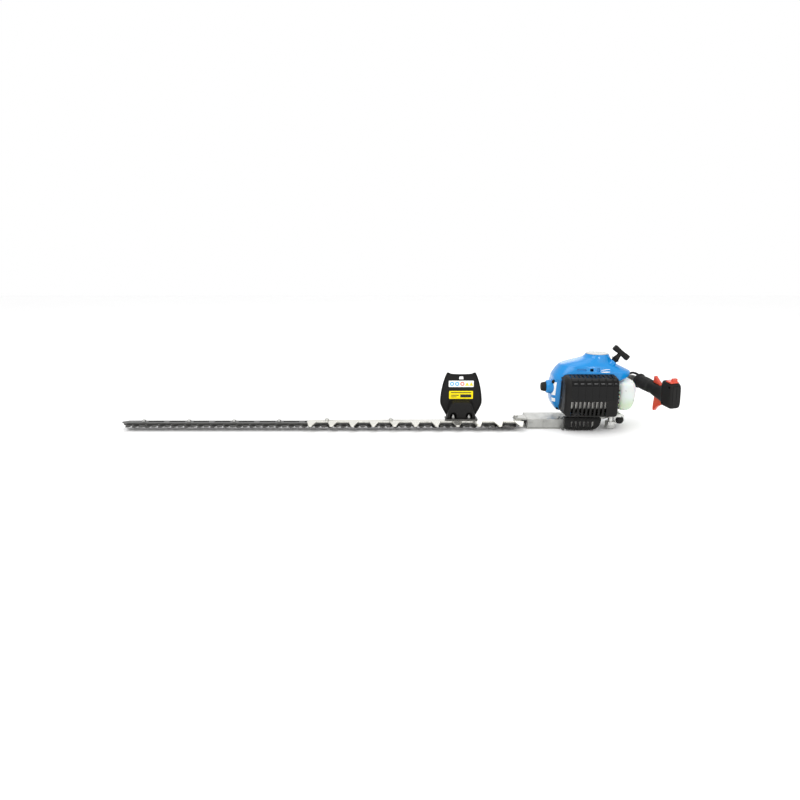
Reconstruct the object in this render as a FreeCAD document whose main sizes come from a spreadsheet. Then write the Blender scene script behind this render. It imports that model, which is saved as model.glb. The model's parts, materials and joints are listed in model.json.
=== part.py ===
import FreeCAD, Part
import math
import os
import re
import Sketcher
from FreeCAD import Placement, Rotation, Vector

# A petrol hedge trimmer with a single-sided cutter.
# Millimetres. +Z up; the crankshaft's axis is X = Y = 0; the blades point to -X, their teeth to -Y,
# and the flat underside of the gear case is Z = 0.

SIZES = {
    # cutter, from the rest plane up: bolt heads, lower blade, upper blade, guide bar, finger comb
    "tip_x": -1288.5, "cutter_y": -30, "bar_width": 26, "nose_length": 16,
    "lower_blade_z": 9.8, "upper_blade_z": 12.1, "blade_thick": 2, "stroke": 8.75,
    "bar_z": 14.4, "bar_thick": 4, "comb_z": 18.4, "comb_thick": 4,
    "tooth_pitch": 35, "tooth_count": 30, "tooth_root": 21, "tooth_tip": 10, "tooth_length": 24,
    "first_tooth": -1262, "blade_neck": -226, "blade_tail": -108, "tail_half": 10, "rod_pin_x": -120,
    "bay_pitch": 122.5, "first_bolt": -1228, "bay_bolts": 4, "comb_bolt_far": -731,
    "comb_bolt_near": -557.6,
    "nose_bolt": -215, "window_length": 43, "window_width": 12, "window_gap": 9, "bolt_radius": 3,
    "washer_radius": 8, "washer_thick": 1.5, "head_radius": 6, "head_thick": 3.5, "nut_radius": 5.6,
    "nut_thick": 5, "slot_half": 12.2, "slot_width": 7,
    "comb_far": -781, "comb_near": -203, "comb_back": 8, "comb_front": -41, "finger_pitch": 55.96,
    "finger_count": 11, "first_finger": -770.6, "finger_root": 27, "finger_tip": 10, "finger_end": -84,
    "comb_rear": -21,
    # hand shield and the front handle behind it
    "shield_x": -366, "shield_foot": 36.5, "shield_wide": 57, "shield_top_half": 40.5, "shield_wide_z": 69,
    "shield_top": 150, "shield_front": -8, "shield_thick": 3, "shield_base": 25.9, "console_depth": 20,
    "console_top": 74, "console_half_low": 26, "console_half_high": 41, "shield_bolt_gap": 42.7,
    "shield_bolt_y": -17, "recess_radius": 9, "bracket_half": 44, "foot_front": -33, "foot_thick": 3.5,
    "plate_thick": 4, "plate_half": 30.8, "plate_top": 96, "front_grip_z": 76, "front_tube_radius": 9,
    "front_grip_radius": 15,
    "front_grip_start": 14, "front_grip_end": 128,
    # gear case
    "case_front": -188, "case_half": 38, "case_end": -26, "cover_thick": 3, "case_top": 28,
    "nose_front": -223, "nose_base": 22.4, "duct_radius": 9.6, "case_wall_top": 26.4, "cam_x": -35,
    "cam_radius": 31.5, "duct_half": 21,
    "duct_top": 18.4, "case_screw_radius": 3.2, "rib_height": 3,
    # reduction gear and blade drive
    "gear_module": 1.25, "cam_teeth": 45, "pinion_teeth": 11, "gear_base": 20.4, "gear_thick": 5.6,
    "cam_pin_radius": 4, "cam_bore": 4.08, "cam_hub": 5.1, "disc_radius": 14, "disc_bore": 14.2,
    "ring_outer": 18, "upper_rod_z": 14.4, "lower_rod_z": 6.6, "rod_thick": 2.9, "drive_gap": 0.4,
    "rod_half": 6, "rod_pin_radius": 4,
    # clutch
    "housing_radius": 42, "housing_bore": 39, "housing_floor": 33, "housing_top": 62, "drum_radius": 36.5,
    "drum_wall": 2, "drum_base": 34, "drum_top": 56, "shaft_radius": 5, "shoe_radius": 33.6,
    "shoe_base": 38, "shoe_top": 54, "shoe_split": 6,
    # engine
    "crank_z": 110, "crankcase_radius": 34, "crankcase_bore": 27.5, "crankcase_top": 150, "web_radius": 22,
    "web_inner": 8, "web_thick": 8, "crank_throw": 14, "crank_pin_radius": 6, "journal_radius": 6,
    "rod_end_gap": 3.3, "rod_web": 3, "bearing_radius": 14, "bearing_thick": 8, "crank_top": 174,
    "bore_radius": 19, "piston_radius": 18.93, "piston_crown": -80, "piston_skirt": -54, "gudgeon_x": -64,
    "gudgeon_radius": 5, "rod_big": 9, "rod_small": 8, "barrel_start": -34, "barrel_end": -84,
    "head_end": -91, "barrel_radius": 23, "barrel_square": 27, "port_half": 31.5,
    "fin_radius": 30, "fin_thick": 1.8, "fin_pitch": 5.2, "fin_count": 10,
    "plug_end": -116, "plug_hex": 7, "boot_end": -148, "boot_flare": -137, "boot_radius": 13.5,
    "flywheel_radius": 39, "flywheel_base": 152, "flywheel_rim": 156, "flywheel_top": 168, "vane_count": 16,
    # recoil starter
    "pulley_radius": 22, "pulley_base": 177, "pulley_top": 187, "rope_radius": 1.75, "rope_wind": 19,
    "spring_top": 195, "pull_x": 58.8, "pull_y": -20, "pull_z": 206.2, "pull_tilt": 39, "grip_bar": 25,
    "grip_bar_radius": 8, "guide_radius": 11, "guide_low": -33, "guide_high": -21,
    # covers, muffler and guards
    "skin": 2.5, "hood_front": -48, "hood_back": 62, "hood_open_x": -52, "hood_open_z": 134,
    "hood_mid": -16, "nose_side": -10,
    "guard_front": -95, "guard_left": -100, "guard_right": 39, "guard_base": 46,
    "guard_top": 139, "guard_rise": 153, "guard_round": 4, "first_slot": -86, "slot_pitch": 10.9,
    "slot_open": 6,
    "slot_count": 9, "slot_low": 51, "slot_high": 89, "muffler_left": -90,
    "muffler_right": 26, "muffler_front": -86, "muffler_back": -50, "muffler_base": 56, "muffler_top": 130,
    "lower_left": -91, "lower_right": 5.6, "lower_front": -60, "lower_back": -44.4, "lower_base": 3,
    "lower_top": 37, "lower_round": 26, "first_vent": -75.5, "vent_pitch": 11.2, "vent_count": 6,
    "vent_open": 5, "vent_low": 8.6, "vent_high": 26,
    # intake side
    "intake_x": -62, "carb_y": 42, "filter_y": 70, "filter_thick": 12, "cleaner_y": 98,
    "cleaner_half": 34, "cleaner_base": 76, "cleaner_top": 134,
    # fuel tank
    "tank_left": 51, "tank_right": 104, "tank_front": -45, "tank_back": 60, "tank_base": 51,
    "tank_top": 131,
    "tank_round": 10, "tank_wall": 2.2, "cap_x": 70, "cap_z": 104, "cap_radius": 16, "cap_depth": 17,
    "neck_radius": 11,
    # rear handle, measured along and across its own axis
    "grip_x": 128.4, "grip_y": 30, "grip_z": 121, "grip_turn": 22.9, "grip_dip": 9, "grip_length": 52,
    "grip_radius": 18, "flange_radius": 20.5, "flange_length": 6, "neck_half": 15, "block_start": 101,
    "block_end": 138, "block_half": 18, "block_low": -28, "block_high": 38, "block_lean": 10.5,
    "block_corner": 4, "pipe_radius": 8, "pipe_bore": 6, "lever_width": 9, "lever_gap": 1.2,
    "cable_radius": 3.1, "cable_rise": 14,
    # slots for the lever and the trigger, the switch and the screws, all in the same frame
    "lever_slot_near": 56, "lever_slot_far": 91, "trigger_slot_near": 69, "trigger_slot_far": 106,
    "slot_roof": 21, "switch_near": 115, "switch_far": 134, "switch_left": 17, "switch_right": 9,
    "switch_low": 0.3, "switch_skirt": 2.6, "switch_high": 7.5, "knob_near": 120, "knob_far": 130,
    "knob_left": 7, "grip_screw_radius": 3, "grip_screw_head": 1.2,
    # clamp that holds the handle's pipe, and the foot beside it
    "clamp_x": 66, "clamp_z": 22, "clamp_half": 12, "clamp_outer": 12.5, "clamp_length": 14,
    "clamp_front": -24, "clamp_back": 22, "bush_radius": 11, "shelf_start": 30, "shelf_end": 65,
    "shelf_front": -42, "shelf_back": 36, "shelf_base": 34, "shelf_top": 42,
    "foot_x": 38, "foot_y": -32, "foot_radius": 13.5, "foot_stem": 7, "foot_base": 3, "foot_top": 21,
}

doc = FreeCAD.newDocument("hedge_trimmer")
dims = doc.addObject("Spreadsheet::Sheet", "dims")
for row, (alias, value) in enumerate(SIZES.items(), start=1):
    dims.set(f"A{row}", alias)
    dims.set(f"B{row}", str(value))
    dims.setAlias(f"B{row}", alias)
doc.recompute()

NODES = []
UPRIGHT = Rotation()
ALONG = {
    "z": Rotation(),
    "x": Rotation(Vector(0, 1, 0), 90),
    "y": Rotation(Vector(1, 0, 0), -90),
}


# ---- helpers -------------------------------------------------------------------------------------

def rule(text):
    """An expression over the sheet, from one that names its cells by alias."""
    return re.sub(r"[a-z][a-z_]+", lambda m: "dims." + m[0] if m[0] in SIZES else m[0], str(text))


def bind(thing, **rules):
    """Bind each property to a rule; x, y and z are the place."""
    for name, text in rules.items():
        prop = "Placement.Base." + name if name in ("x", "y", "z") else name
        thing.setExpression(prop, rule(text))


def number(text):
    """The value of a rule."""
    return float(dims.evalExpression(rule(text)))


def piece(label, frame=None):
    """An empty body; its label names its file, and its frame is where it is placed."""
    body = doc.addObject("PartDesign::Body", label)
    body.Label = label
    body.Placement = frame or Placement()
    NODES.append(body)
    return body


def origin(body, role):
    """A plane or axis of the body's own origin."""
    return next(f for f in body.Origin.OriginFeatures if f.Role == role)


def box(body, x, y, z, cut=False):
    """A box between the two rules given for each axis."""
    kind = "Subtractive" if cut else "Additive"
    solid = body.newObject(f"PartDesign::{kind}Box", "box")
    for side, (low, high) in zip(("Length", "Width", "Height"), (x, y, z)):
        bind(solid, **{side: f"({high}) - ({low})"})
    bind(solid, x=x[0], y=y[0], z=z[0])
    return solid


def rod(body, at, radius, length, axis="z", cut=False, tip=None, frame=None):
    """A cylinder from a point along +X, +Y or +Z, or a cone if its far end has a radius of its own.

    With a frame, it stands at the frame's own origin instead, along the frame's +Z."""
    kind = "Subtractive" if cut else "Additive"
    shape = "Cylinder" if tip is None else "Cone"
    solid = body.newObject(f"PartDesign::{kind}{shape}", "rod")
    bind(solid, Height=length)
    if frame is None:
        solid.Placement = Placement(Vector(), ALONG[axis])
        bind(solid, x=at[0], y=at[1], z=at[2])
    else:
        solid.Placement = frame
    if tip is None:
        bind(solid, Radius=radius)
    else:
        bind(solid, Radius1=radius, Radius2=tip)
    return solid


def outline(body, plane, points, level="0"):
    """A closed sketch whose corners are bound to rules, on an origin plane moved to a level."""
    sketch = body.newObject("Sketcher::SketchObject", "outline")
    sketch.AttachmentSupport = [(origin(body, plane), "")]
    sketch.MapMode = "FlatFace"
    sketch.setExpression("AttachmentOffset.Base.z", rule(level))
    places = [(number(across), number(up)) for across, up in points]
    count = len(points)
    for index, start in enumerate(places):
        end = places[(index + 1) % count]
        sketch.addGeometry(Part.LineSegment(Vector(*start, 0), Vector(*end, 0)), False)
    for index in range(count):
        sketch.addConstraint(Sketcher.Constraint("Coincident", index, 2, (index + 1) % count, 1))
    for index, (place, rules) in enumerate(zip(places, points)):
        for kind, value, text in zip(("DistanceX", "DistanceY"), place, rules):
            key = sketch.addConstraint(Sketcher.Constraint(kind, index, 1, value))
            sketch.setExpression(f"Constraints[{key}]", rule(text))
    return sketch


def pad(body, sketch, length, cut=False):
    """Pad or pocket a sketch; a pocket goes the same way as a pad."""
    solid = body.newObject("PartDesign::Pocket" if cut else "PartDesign::Pad", "pad")
    solid.Profile = sketch
    solid.Reversed = cut
    bind(solid, Length=length)
    return solid


def slab(body, points, level, thickness, cut=False):
    """A flat plate: an outline in XY, padded up from its level."""
    return pad(body, outline(body, "XY_Plane", points, level), thickness, cut)


def wall(body, points, back, depth, cut=False):
    """An outline in XZ, padded towards -Y from its back plane."""
    return pad(body, outline(body, "XZ_Plane", points, f"-({back})"), depth, cut)


def repeat(body, features, axis, span, count):
    """Repeat features along an origin axis over a span."""
    pattern = body.newObject("PartDesign::LinearPattern", "row")
    pattern.Originals = features
    pattern.Direction = (origin(body, axis), [""])
    bind(pattern, Length=span, Occurrences=count)
    body.Tip = pattern
    return pattern


def ring_of(body, features, count):
    """Repeat features around the body's own Z axis."""
    pattern = body.newObject("PartDesign::PolarPattern", "ring")
    pattern.Originals = features
    pattern.Axis = (origin(body, "Z_Axis"), [""])
    pattern.Angle = 360
    bind(pattern, Occurrences=count)
    body.Tip = pattern
    return pattern


def soften(body, feature, radius):
    """Round every edge that the body has so far."""
    doc.recompute()
    fillet = body.newObject("PartDesign::Fillet", "soft")
    fillet.Base = (feature, ["Edge1"])
    fillet.UseAllEdges = True
    bind(fillet, Radius=radius)
    return fillet


def route(points, radius_share=0.45):
    """A wire of straight runs joined by tangent arcs; each arc is as large as its runs allow."""
    edges = []
    start = points[0]
    for before, corner, after in zip(points, points[1:], points[2:]):
        back = (before - corner).normalize()
        ahead = (after - corner).normalize()
        half = back.getAngle(ahead) / 2
        reach = radius_share * min((before - corner).Length, (after - corner).Length)
        middle = corner + (back + ahead).normalize() * (reach / math.cos(half) - reach * math.tan(half))
        edges.append(Part.LineSegment(start, corner + back * reach).toShape())
        edges.append(Part.Arc(corner + back * reach, middle, corner + ahead * reach).toShape())
        start = corner + ahead * reach
    edges.append(Part.LineSegment(start, points[-1]).toShape())
    return Part.Wire(edges)


def tube(label, points, radius, bore=0.0):
    """A round tube along a route, hollow where it has a bore."""
    path = route(points)
    ahead = points[1] - points[0]

    def sweep(size):
        circle = Part.Wire(Part.makeCircle(size, points[0], ahead))
        return path.makePipeShell([circle], True, True)

    thing = doc.addObject("Part::Feature", label)
    thing.Label = label
    thing.Shape = sweep(radius).cut(sweep(bore)) if bore else sweep(radius)
    thing.Placement = Placement()
    NODES.append(thing)
    return thing


# ---- cutter --------------------------------------------------------------------------------------

BAY_BOLTS = [f"first_bolt + {index} * bay_pitch" for index in range(SIZES["bay_bolts"])]
COMB_BOLTS = ["comb_bolt_far", "comb_bolt_near"]
BAR_BACK = "cutter_y + bar_width / 2"
BAR_FRONT = "cutter_y - bar_width / 2"


def guide_bar():
    body = piece("guide_bar")
    slab(body, [
        ("tip_x", "cutter_y"), ("tip_x + nose_length", BAR_BACK), ("blade_neck", BAR_BACK),
        ("case_front", "duct_half - 3"), ("cam_x * 4.3", "duct_half - 3"), ("cam_x * 4.3", "3 - duct_half"),
        ("case_front", "3 - duct_half"), ("blade_neck", BAR_FRONT), ("tip_x + nose_length", BAR_FRONT),
    ], "bar_z", "bar_thick")
    windows = [
        box(body, (f"{start}", f"{start} + window_length"),
            ("cutter_y - window_width / 2", "cutter_y + window_width / 2"),
            ("bar_z - 1", "comb_z + 1"), cut=True)
        for start in ("first_bolt + window_gap + 2",
                      "first_bolt + bay_pitch - window_gap - 2 - window_length")
    ]
    repeat(body, windows, "X_Axis", "bay_pitch * 3", 4)
    for place in BAY_BOLTS + COMB_BOLTS:
        rod(body, (place, "cutter_y", "bar_z - 1"), "bolt_radius", "bar_thick + 2", cut=True)


def blade(label, level, first):
    body = piece(label)
    slab(body, [
        ("tip_x + 4", "cutter_y"), ("tip_x + nose_length + 4", BAR_BACK), ("blade_neck - 70", BAR_BACK),
        ("blade_neck - 30", "tail_half"), ("blade_tail", "tail_half"), ("blade_tail", "-tail_half"),
        ("case_front - 9", "-tail_half"), ("blade_neck", BAR_FRONT), ("tip_x + nose_length + 4", BAR_FRONT),
    ], level, "blade_thick")
    tooth = slab(body, [
        (f"{first} - tooth_root / 2", f"{BAR_FRONT} + 1"),
        (f"{first} + tooth_root / 2", f"{BAR_FRONT} + 1"),
        (f"{first} + tooth_tip / 2", f"{BAR_FRONT} - tooth_length"),
        (f"{first} - tooth_tip / 2", f"{BAR_FRONT} - tooth_length"),
    ], level, "blade_thick")
    repeat(body, [tooth], "X_Axis", "tooth_pitch * (tooth_count - 1)", "tooth_count")
    for place in BAY_BOLTS + COMB_BOLTS:
        box(body, (f"{place} - slot_half", f"{place} + slot_half"),
            ("cutter_y - slot_width / 2", "cutter_y + slot_width / 2"),
            (f"{level} - 1", f"{level} + blade_thick + 1"), cut=True)
    rod(body, ("rod_pin_x", "0", f"{level} - 1"), "rod_pin_radius", "blade_thick + 2", cut=True)


def finger_comb():
    body = piece("finger_comb")
    slab(body, [
        ("comb_far", "comb_rear - 4"), ("comb_far + 110", "comb_rear"), ("comb_near", "comb_rear"),
        ("comb_near", "comb_front"), ("comb_far", "comb_front"),
    ], "comb_z", "comb_thick")
    finger = slab(body, [
        ("first_finger - finger_root / 2", "comb_front + 1"),
        ("first_finger + finger_root / 2", "comb_front + 1"),
        ("first_finger + finger_tip / 2", "finger_end + 3"),
        ("first_finger + finger_tip / 4", "finger_end"),
        ("first_finger - finger_tip / 4", "finger_end"),
        ("first_finger - finger_tip / 2", "finger_end + 3"),
    ], "comb_z", "comb_thick")
    repeat(body, [finger], "X_Axis", "finger_pitch * (finger_count - 1)", "finger_count")
    for place in COMB_BOLTS:
        rod(body, (place, "cutter_y", "comb_z - 1"), "bolt_radius", "comb_thick + 2", cut=True)


def blade_bolts():
    bolts = piece("blade_bolts")
    nuts = piece("blade_nuts")
    under = "lower_blade_z - 0.3 - washer_thick"
    seats = [(place, "comb_z") for place in BAY_BOLTS]
    seats += [(place, "comb_z + comb_thick") for place in COMB_BOLTS]
    for place, seat in seats:
        rod(bolts, (place, "cutter_y", f"{under} - head_thick"), "head_radius", "head_thick")
        rod(bolts, (place, "cutter_y", under), "bolt_radius", f"{seat} + nut_thick + 2 - ({under})")
        rod(bolts, (place, "cutter_y", under), "washer_radius", "washer_thick")
        nut = nuts.newObject("PartDesign::AdditivePrism", "nut")
        nut.Polygon = 6
        bind(nut, Circumradius="nut_radius", Height="nut_thick", x=place, y="cutter_y", z=seat)
    for place, seat in seats:
        rod(nuts, (place, "cutter_y", f"{seat} - 1"), "bolt_radius", "nut_thick + 2", cut=True)


# ---- hand shield and front handle ----------------------------------------------------------------

SHIELD_BOLTS = ["shield_x - shield_bolt_gap / 2", "shield_x + shield_bolt_gap / 2"]


def hand_shield():
    body = piece("hand_shield")
    wall(body, [
        ("shield_x - shield_foot", "shield_base"), ("shield_x + shield_foot", "shield_base"),
        ("shield_x + shield_wide", "shield_wide_z"), ("shield_x + shield_wide - 3", "shield_wide_z + 28"),
        ("shield_x + shield_top_half", "shield_top"), ("shield_x", "shield_top - 4"),
        ("shield_x - shield_top_half", "shield_top"), ("shield_x - shield_wide + 3", "shield_wide_z + 28"),
        ("shield_x - shield_wide", "shield_wide_z"),
    ], "shield_front + shield_thick", "shield_thick")
    wall(body, [
        ("shield_x - console_half_high", "shield_base"), ("shield_x + console_half_high", "shield_base"),
        ("shield_x + console_half_low", "console_top"), ("shield_x - console_half_low", "console_top"),
    ], "shield_front", "console_depth")
    for place in SHIELD_BOLTS:
        rod(body, (place, "shield_front - console_depth - 1", "shield_base + 9"), "recess_radius",
            "console_depth - 1", axis="y", cut=True)
        box(body, (f"{place} - recess_radius", f"{place} + recess_radius"),
            ("shield_front - console_depth - 1", "shield_front - 2"),
            ("shield_base - 1", "shield_base + 9"), cut=True)
    box(body, ("shield_x - 6", "shield_x + 6"), ("shield_front - 1", "shield_front + shield_thick + 1"),
        ("shield_top - 19", "shield_top - 11"), cut=True)


def shield_bracket():
    body = piece("shield_bracket")
    foot = "comb_z + comb_thick"
    back = "shield_front + shield_thick"
    box(body, ("shield_x - bracket_half", "shield_x + bracket_half"),
        ("foot_front", f"{back} + plate_thick"),
        (foot, f"{foot} + foot_thick"))
    box(body, ("shield_x - plate_half", "shield_x + plate_half"), (back, f"{back} + plate_thick"),
        (foot, "plate_top"))
    rod(body, ("shield_x", f"{back} - 1", "front_grip_z"), "front_tube_radius - 2", "plate_thick + 2",
        axis="y", cut=True)
    for place in SHIELD_BOLTS:
        rod(body, (place, "shield_bolt_y", f"{foot} - 1"), "bolt_radius", "foot_thick + 2", cut=True)


def shield_bolts():
    body = piece("shield_bolts")
    seat = "comb_z + comb_thick + foot_thick"
    for place in SHIELD_BOLTS:
        head = body.newObject("PartDesign::AdditivePrism", "head")
        head.Polygon = 6
        bind(head, Circumradius="nut_radius + 0.4", Height="nut_thick", x=place, y="shield_bolt_y", z=seat)
        rod(body, (place, "shield_bolt_y", "comb_z + comb_thick"), "bolt_radius", "foot_thick")
        rod(body, (place, "shield_bolt_y", seat), "bolt_radius", "nut_thick + 4")


def front_handle():
    tube_body = piece("front_handle_tube")
    back = "shield_front + shield_thick"
    rod(tube_body, ("shield_x", back, "front_grip_z"), "front_tube_radius - 2", "plate_thick", axis="y")
    rod(tube_body, ("shield_x", f"{back} + plate_thick", "front_grip_z"), "front_tube_radius",
        f"front_grip_end - 4 - ({back} + plate_thick)", axis="y")
    grip = piece("front_grip")
    body = rod(grip, ("shield_x", "front_grip_start", "front_grip_z"), "front_grip_radius",
               "front_grip_end - front_grip_start", axis="y")
    soften(grip, body, "4")
    rod(grip, ("shield_x", "front_grip_start - 1", "front_grip_z"), "front_tube_radius",
        "front_grip_end - 4 - front_grip_start + 1", axis="y", cut=True)


# ---- gear case and blade drive -------------------------------------------------------------------

CASE_SCREWS = [
    ("case_front + 12", "31"), ("case_front + 12", "-31"), ("case_front + 66", "32"),
    ("case_front + 66", "-32"), ("-8", "27"), ("-8", "-27"),
]


def case_plan(body, level, thickness):
    """The plan of the gear case: straight sides and a round end just behind the crankshaft."""
    box(body, ("case_front", "case_end"), ("-case_half", "case_half"), (level, f"{level} + {thickness}"))
    return rod(body, ("case_end", "0", level), "case_half", thickness)


def gear_case():
    cover = piece("gear_case_cover")
    soften(cover, case_plan(cover, "0", "cover_thick"), "1")
    case = piece("gear_case")
    last = case_plan(case, "cover_thick", "case_top - cover_thick")
    soften(case, last, "2")
    slab(case, [
        ("nose_front + 6", "-25"), ("nose_front", "-12"), ("nose_front", "comb_back - 14"),
        ("nose_front + 6", "comb_back"), ("case_front + 8", "comb_back + 8"),
        ("case_front + 8", "-case_half + 6"),
    ], "nose_base", "case_top - 1 - nose_base")
    for start, end, low, high in (("-187", "-172", "7", "18"), ("-145", "-133", "9", "22")):
        box(case, (start, end), ("-case_half - 2", "-case_half + 1"), (low, high))
    for start in ("-108", "-98"):
        slab(case, [
            (start, "-case_half + 4"), (f"{start} + 3", "-case_half + 4"),
            (f"{start} + 15", "-14"), (f"{start} + 12", "-14"),
        ], "case_top - 0.5", "rib_height")
    rod(case, ("cam_x", "0", "cover_thick"), "cam_radius", "case_wall_top - cover_thick", cut=True)
    rod(case, ("0", "0", "cover_thick"), "duct_radius", "case_top", cut=True)
    box(case, ("case_front - 1", "cam_x"), ("-duct_half", "duct_half"), ("cover_thick", "duct_top"),
        cut=True)
    screws = piece("case_screws")
    for across, aside in CASE_SCREWS:
        rod(cover, (across, aside, "-1"), "case_screw_radius", "cover_thick + 2", cut=True)
        rod(screws, (across, aside, "0.6"), "case_screw_radius", "cover_thick - 0.6")
    rod(screws, ("nose_bolt", "-8", "case_top - 1"), "nut_radius", "4.5")


def gear_teeth(body, count, centre_x, root_trim=0.0):
    """A toothed wheel: a root disc and straight-flanked teeth with running clearance."""
    pitch_radius = f"gear_module * {count} / 2"
    wheel = f"{pitch_radius} - gear_module * 1.25"
    rod(body, (centre_x, "0", "gear_base"), wheel, "gear_thick")
    tooth = slab(body, [
        (f"{pitch_radius} - gear_module * 1.4", "-gear_module * 0.86"),
        (f"{pitch_radius} + gear_module * 0.8", "-gear_module * 0.28"),
        (f"{pitch_radius} + gear_module * 0.8", "gear_module * 0.28"),
        (f"{pitch_radius} - gear_module * 1.4", "gear_module * 0.86"),
    ], "gear_base", "gear_thick")
    ring_of(body, [tooth], count)


def cam_gear():
    """The reduction gear, with one eccentric disc above each connecting rod's ring."""
    body = piece("cam_gear", Placement(Vector(SIZES["cam_x"], 0, 0), UPRIGHT))
    bind(body, x="cam_x")
    gear_teeth(body, "cam_teeth", "0")
    lower_disc = "lower_rod_z + rod_thick + drive_gap"
    rod(body, ("0", "0", lower_disc), "cam_hub", f"gear_base - ({lower_disc})")
    rod(body, ("0", "stroke", lower_disc), "disc_radius", f"upper_rod_z - drive_gap - ({lower_disc})")
    upper_disc = "upper_rod_z + rod_thick + drive_gap"
    rod(body, ("0", "-stroke", upper_disc), "disc_radius", f"gear_base - ({upper_disc})")
    rod(body, ("0", "0", "0"), "cam_bore", "case_top", cut=True)
    pin = piece("cam_pin")
    rod(pin, ("cam_x", "0", "cover_thick"), "cam_pin_radius", "case_wall_top - cover_thick")


def connecting_link(label, level, pin_low, pin_length):
    """A blade's connecting rod: a ring about the cam pin, a bar, and the pin into the blade's tail."""
    body = piece(label)
    rod(body, ("cam_x", "0", level), "ring_outer", "rod_thick")
    box(body, ("rod_pin_x", "cam_x - disc_bore"), ("-rod_half", "rod_half"),
        (level, f"{level} + rod_thick"))
    rod(body, ("rod_pin_x", "0", level), "rod_half + 2", "rod_thick")
    rod(body, ("rod_pin_x", "0", pin_low), "rod_pin_radius", pin_length)
    rod(body, ("cam_x", "0", f"{level} - 1"), "disc_bore", "rod_thick + 2", cut=True)


def clutch():
    housing = piece("clutch_housing")
    rod(housing, ("0", "0", "case_top"), "housing_radius", "housing_top - case_top")
    rod(housing, ("0", "0", "housing_floor"), "housing_bore", "housing_top", cut=True)
    rod(housing, ("0", "0", "case_top - 1"), "bearing_radius - 1", "housing_top", cut=True)
    drum = piece("clutch_drum")
    gear_teeth(drum, "pinion_teeth", "0")
    rod(drum, ("0", "0", "gear_base"), "shaft_radius", "drum_base - gear_base")
    rod(drum, ("0", "0", "drum_base"), "drum_radius", "drum_top - drum_base")
    rod(drum, ("0", "0", "drum_base + drum_wall"), "drum_radius - drum_wall", "drum_top", cut=True)
    shoes = piece("clutch_shoes")
    rod(shoes, ("0", "0", "shoe_base"), "shoe_radius", "shoe_top - shoe_base")
    box(shoes, ("-shoe_split / 2", "shoe_split / 2"), ("-shoe_radius - 1", "shoe_radius + 1"),
        ("shoe_base - 1", "shoe_top + 1"), cut=True)
    rod(shoes, ("0", "0", "shoe_base - 1"), "15", "shoe_top", cut=True)
    rod(shoes, ("0", "0", "shoe_base"), "11", "shoe_top - shoe_base")
    box(shoes, ("-27", "27"), ("-3", "3"), ("shoe_base + 4", "shoe_top - 4"))
    rod(shoes, ("0", "0", "shoe_base - 1"), "journal_radius", "shoe_top", cut=True)


# ---- engine --------------------------------------------------------------------------------------

WEB_LOW = "crank_z - rod_web - rod_end_gap - web_inner / 2"


def bearings():
    body = piece("bearings")
    for level, bore in (("case_top", "shaft_radius + 0.06"), ("housing_top + 4", "journal_radius + 0.06"),
                        ("crankcase_top - bearing_thick - 2", "journal_radius + 0.06")):
        thick = "housing_floor - case_top" if level == "case_top" else "bearing_thick"
        rod(body, ("0", "0", level), "bearing_radius - 1", thick)
    rod(body, ("0", "0", "case_top - 1"), "shaft_radius + 0.06", "housing_floor - case_top + 2", cut=True)
    rod(body, ("0", "0", "housing_top"), "journal_radius + 0.06", "crankcase_top - housing_top", cut=True)


def crankcase():
    for label, low, high in (("crankcase_lower", "housing_top", "crank_z"),
                             ("crankcase_upper", "crank_z", "crankcase_top")):
        body = piece(label)
        rod(body, ("0", "0", low), "crankcase_radius", f"{high} - {low}")
        flange_low = "crank_z - barrel_square" if low == "housing_top" else "crank_z"
        box(body, ("barrel_start", "-10"), ("-barrel_square", "barrel_square"),
            (flange_low, f"{flange_low} + barrel_square"))
        rod(body, ("0", "0", "crank_z - 20"), "crankcase_bore", "40", cut=True)
        rod(body, ("barrel_start - 1", "0", "crank_z"), "bore_radius + 0.4", "33", axis="x", cut=True)
        rod(body, ("0", "0", low + " - 1"), "journal_radius + 1", f"{high} - {low} + 2", cut=True)
        for seat in ("housing_top + 4", "crankcase_top - bearing_thick - 2"):
            rod(body, ("0", "0", seat), "bearing_radius - 1", "bearing_thick", cut=True)


def crankshaft():
    """Two half shafts; the crank pin is open in the middle, where the rod's big end stands."""
    body = piece("crankshaft")
    low_web = "crank_z - 16"
    high_web = "crank_z + 8"
    rod(body, ("0", "0", "shoe_base"), "journal_radius", f"{low_web} - shoe_base")
    rod(body, ("0", "0", low_web), "web_radius", "web_thick")
    rod(body, ("-crank_throw", "0", low_web), "crank_pin_radius", "16 - rod_end_gap")
    rod(body, ("-crank_throw", "0", "crank_z + rod_end_gap"), "crank_pin_radius", "16 - rod_end_gap")
    rod(body, ("0", "0", high_web), "web_radius", "web_thick")
    rod(body, ("0", "0", high_web), "journal_radius", f"crank_top - ({high_web})")


def piston_and_rod():
    piston = piece("piston")
    rod(piston, ("piston_crown", "0", "crank_z"), "piston_radius", "piston_skirt - piston_crown", axis="x")
    rod(piston, ("piston_crown + 5", "0", "crank_z"), "piston_radius - 4", "30", axis="x", cut=True)
    rod(piston, ("gudgeon_x", "-piston_radius + 2", "crank_z"), "gudgeon_radius", "2 * piston_radius - 4",
        axis="y")
    link = piece("connecting_rod")
    level = "crank_z - rod_web"
    rod(link, ("-crank_throw", "0", level), "rod_big", "2 * rod_web")
    box(link, ("gudgeon_x", "-crank_throw"), ("-3.5", "3.5"), (level, "crank_z + rod_web"))
    rod(link, ("-crank_throw", "0", f"{level} - 1"), "crank_pin_radius", "2 * rod_web + 2", cut=True)
    rod(link, ("gudgeon_x", "-3.5", "crank_z"), "rod_small", "7", axis="y")
    rod(link, ("gudgeon_x", "-5", "crank_z"), "gudgeon_radius", "10", axis="y", cut=True)


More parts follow.
